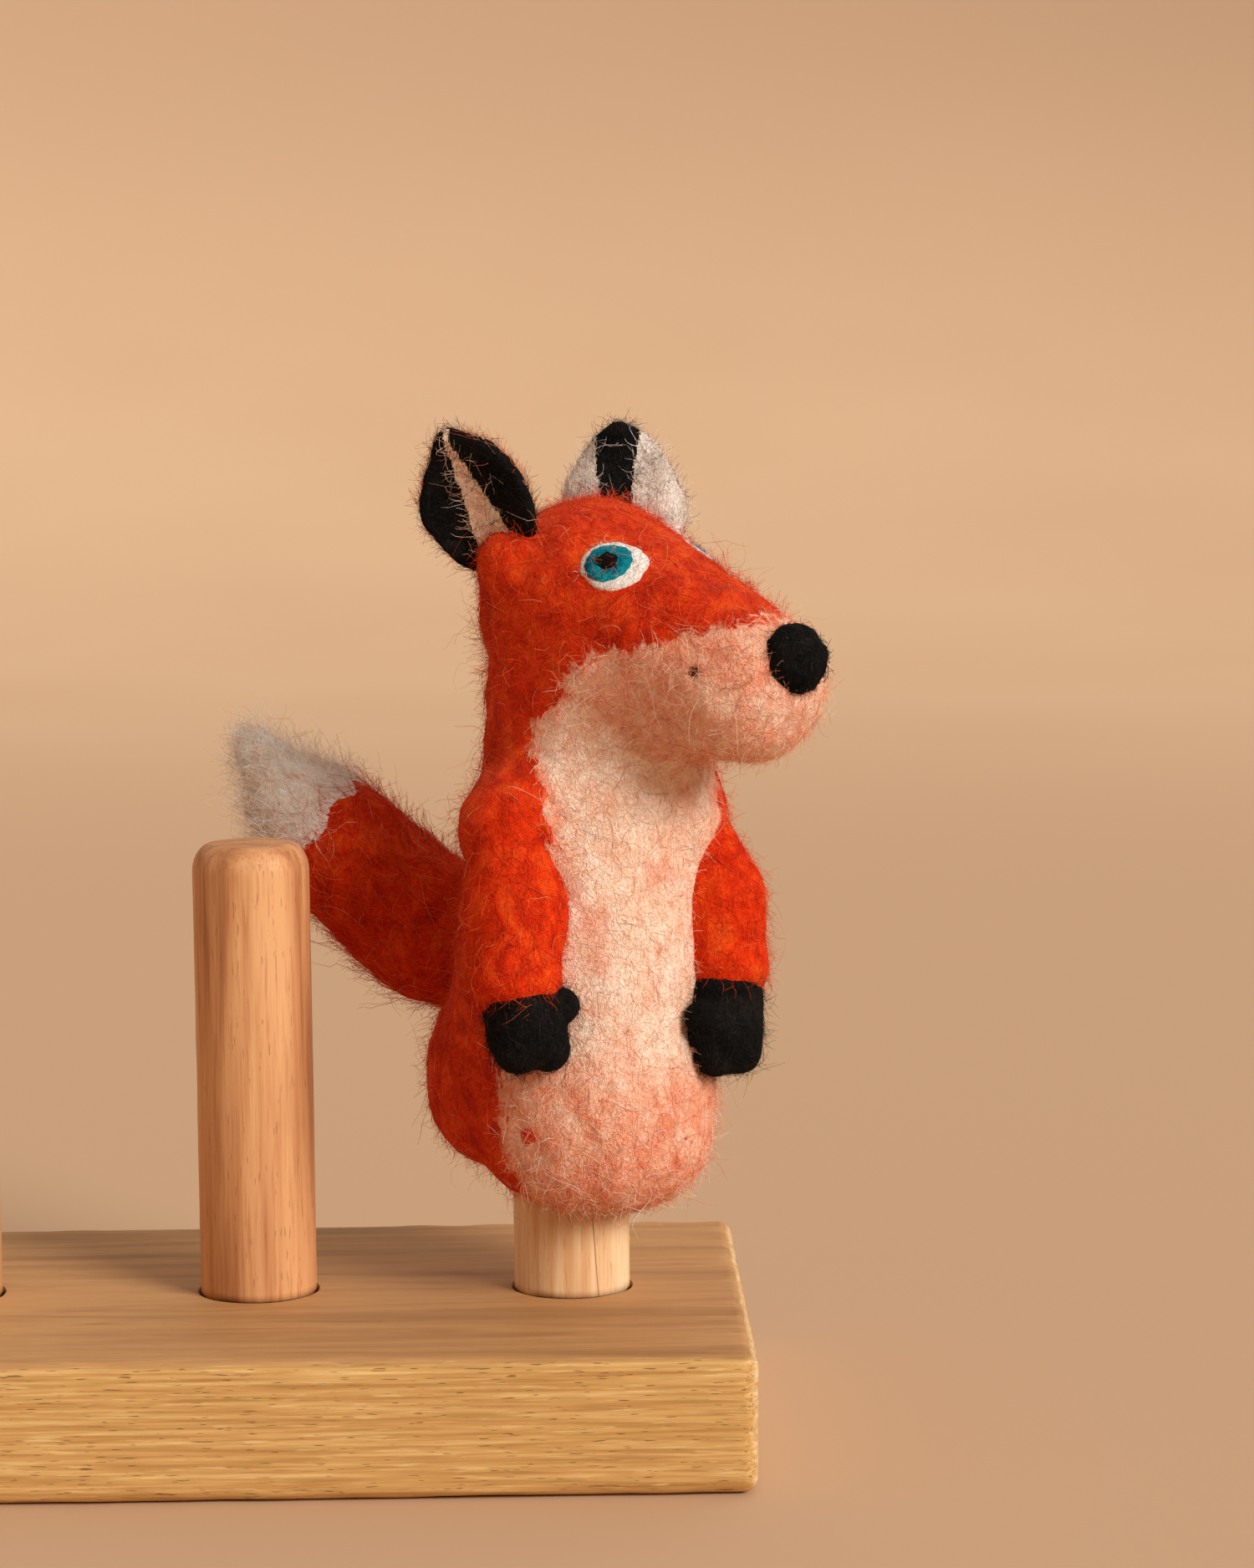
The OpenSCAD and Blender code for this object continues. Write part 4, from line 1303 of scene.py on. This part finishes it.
# Each peg's material name, its dark, middle, light and line tones, where its grain starts and any
# crack, then its slot and the seed of its wobble
PEGS = {
    "fox_peg": ("peg_pale", (214, 166, 118), (232, 196, 152), (243, 214, 172), (206, 150, 104), 4.0, 0.9,
                "wood_pale", 301),
    "middle_peg": ("peg_brown", (162, 104, 62), (204, 144, 96), (224, 170, 118), (170, 88, 50), 9.0, 0.0,
                   "wood_brown", 302),
    "end_peg": ("peg_tan", (168, 116, 72), (208, 156, 106), (226, 180, 130), (176, 104, 62), 15.0, 0.0,
                "wood_brown", 303),
}


def build_stand():
    centres = []
    for node, (name, dark, middle, light, line, shift, crack, slot, seed) in PEGS.items():
        wood = peg_wood(name, srgb(*dark), srgb(*middle), srgb(*light), srgb(*line), shift, crack)
        centres.append(build_peg(node, wood, seed))
    build_block(centres)


# ---- studio


def backdrop_material():
    g = Graph("backdrop_paper")
    cloud = g.noise(g.mm, 0.004, 2.0)
    colour = g.ramp(cloud, (0.3, srgb(212, 175, 140)), (0.7, srgb(216, 180, 145)))
    far = g.add("VectorMath", {0: g.stretch(1, 1, 0)}, operation="LENGTH").outputs["Value"]
    height = g.add("SeparateXYZ", {0: g.mm}).outputs["Z"]
    # Painted shade: the paper is painted darker within half a metre of the middle, and darker again the
    # higher the backdrop curves, standing in for the light's falloff
    near = g.remap(far, 500, 1250, 1.0, 0.0)
    colour = g.mix(near, colour, srgb(200, 163, 130))
    colour = g.mix(g.remap(height, 40, 430), colour, srgb(188, 154, 124))
    return g.finish(colour, 0.9, Specular_IOR_Level=0.1)


def build_studio():
    """A plain floor that curves up into the backdrop all round."""
    flat, top, rise, steps, sides = 1.1, 2.4, 0.62, 14, 96
    rings = [(0.05, -0.0002), (flat, -0.0002)]
    for i in range(1, steps + 1):
        a = i / steps * math.pi / 2
        rings.append((flat + (top - flat) * math.sin(a), rise * (1 - math.cos(a))))
    angle = np.linspace(0, 2 * np.pi, sides, endpoint=False)
    verts = np.concatenate([np.stack([r * np.cos(angle), r * np.sin(angle), np.full(sides, z)], 1)
                            for r, z in rings])
    i = np.arange(sides)
    j = (i + 1) % sides
    quads = ring_quads(0, len(rings) - 1, sides)
    verts = np.vstack([verts, [0, 0, rings[0][1]]])
    fan = np.stack([i, j, np.full(sides, len(verts) - 1)], 1)
    floor = paint(make_object("studio_floor", verts / MM, [quads, fan], to_row=False), backdrop_material())


# Each light's name, strength, spread in degrees, and the way to it
LIGHTS = (("window", 3.15, 24, (0.72, -0.69, 0.55)), ("sky", 0.55, 50, (0.5, 0.8, 1.2)))
ROOM_TONE, ROOM_GLOW = (1.0, 0.92, 0.84, 1), 0.38


def build_lights():
    """A window's soft light from the front right, a weaker one from above and behind, and a dim warm room."""
    for name, power, spread, heading in LIGHTS:
        data = bpy.data.lights.new(name, "SUN")
        data.energy, data.angle, data.color = power, math.radians(spread), (1.0, 0.96, 0.90)
        lamp = bpy.data.objects.new(name, data)
        lamp.rotation_euler = Vector(heading).to_track_quat("Z", "Y").to_euler()
        bpy.context.scene.collection.objects.link(lamp)
    world = bpy.data.worlds.new("room")
    world.use_nodes = True
    background = world.node_tree.nodes["Background"]
    background.inputs["Color"].default_value = ROOM_TONE
    background.inputs["Strength"].default_value = ROOM_GLOW
    bpy.context.scene.world = world


# The camera's place in metres, and its turn from straight ahead in degrees
CAMERA_AT = (0.03927, -0.49560, 0.13643)
PAN, DOWN, ROLL = -1.075, 6.154, -0.556
LENS_MM, SENSOR_MM = 88.96, 36.0


def build_camera():
    """The photograph's view: from the front, a little above, with a long lens."""
    data = bpy.data.cameras.new("camera")
    data.lens, data.sensor_width, data.sensor_fit = LENS_MM, SENSOR_MM, "AUTO"
    data.clip_start, data.clip_end = 0.01, 20.0
    camera = bpy.data.objects.new("camera", data)
    pan, pitch, roll = math.radians(PAN), math.radians(90 - DOWN), math.radians(ROLL)
    turn = Matrix.Rotation(pan, 4, "Z") @ Matrix.Rotation(pitch, 4, "X") @ Matrix.Rotation(roll, 4, "Z")
    camera.matrix_world = Matrix.Translation(CAMERA_AT) @ turn
    bpy.context.scene.collection.objects.link(camera)
    bpy.context.scene.camera = camera


# ---- the scene

build_camera()
build_studio()
build_lights()
bpy.context.scene.view_settings.view_transform = "Standard"
wools = make_wools()
build_stand()
build_skin(wools)
for side in (RIGHT, LEFT):
    build_arm(side, wools)
    build_ear(side, wools)
build_tail(wools)
build_eyes(wools)
build_nose(wools)
build_mouth(wools)
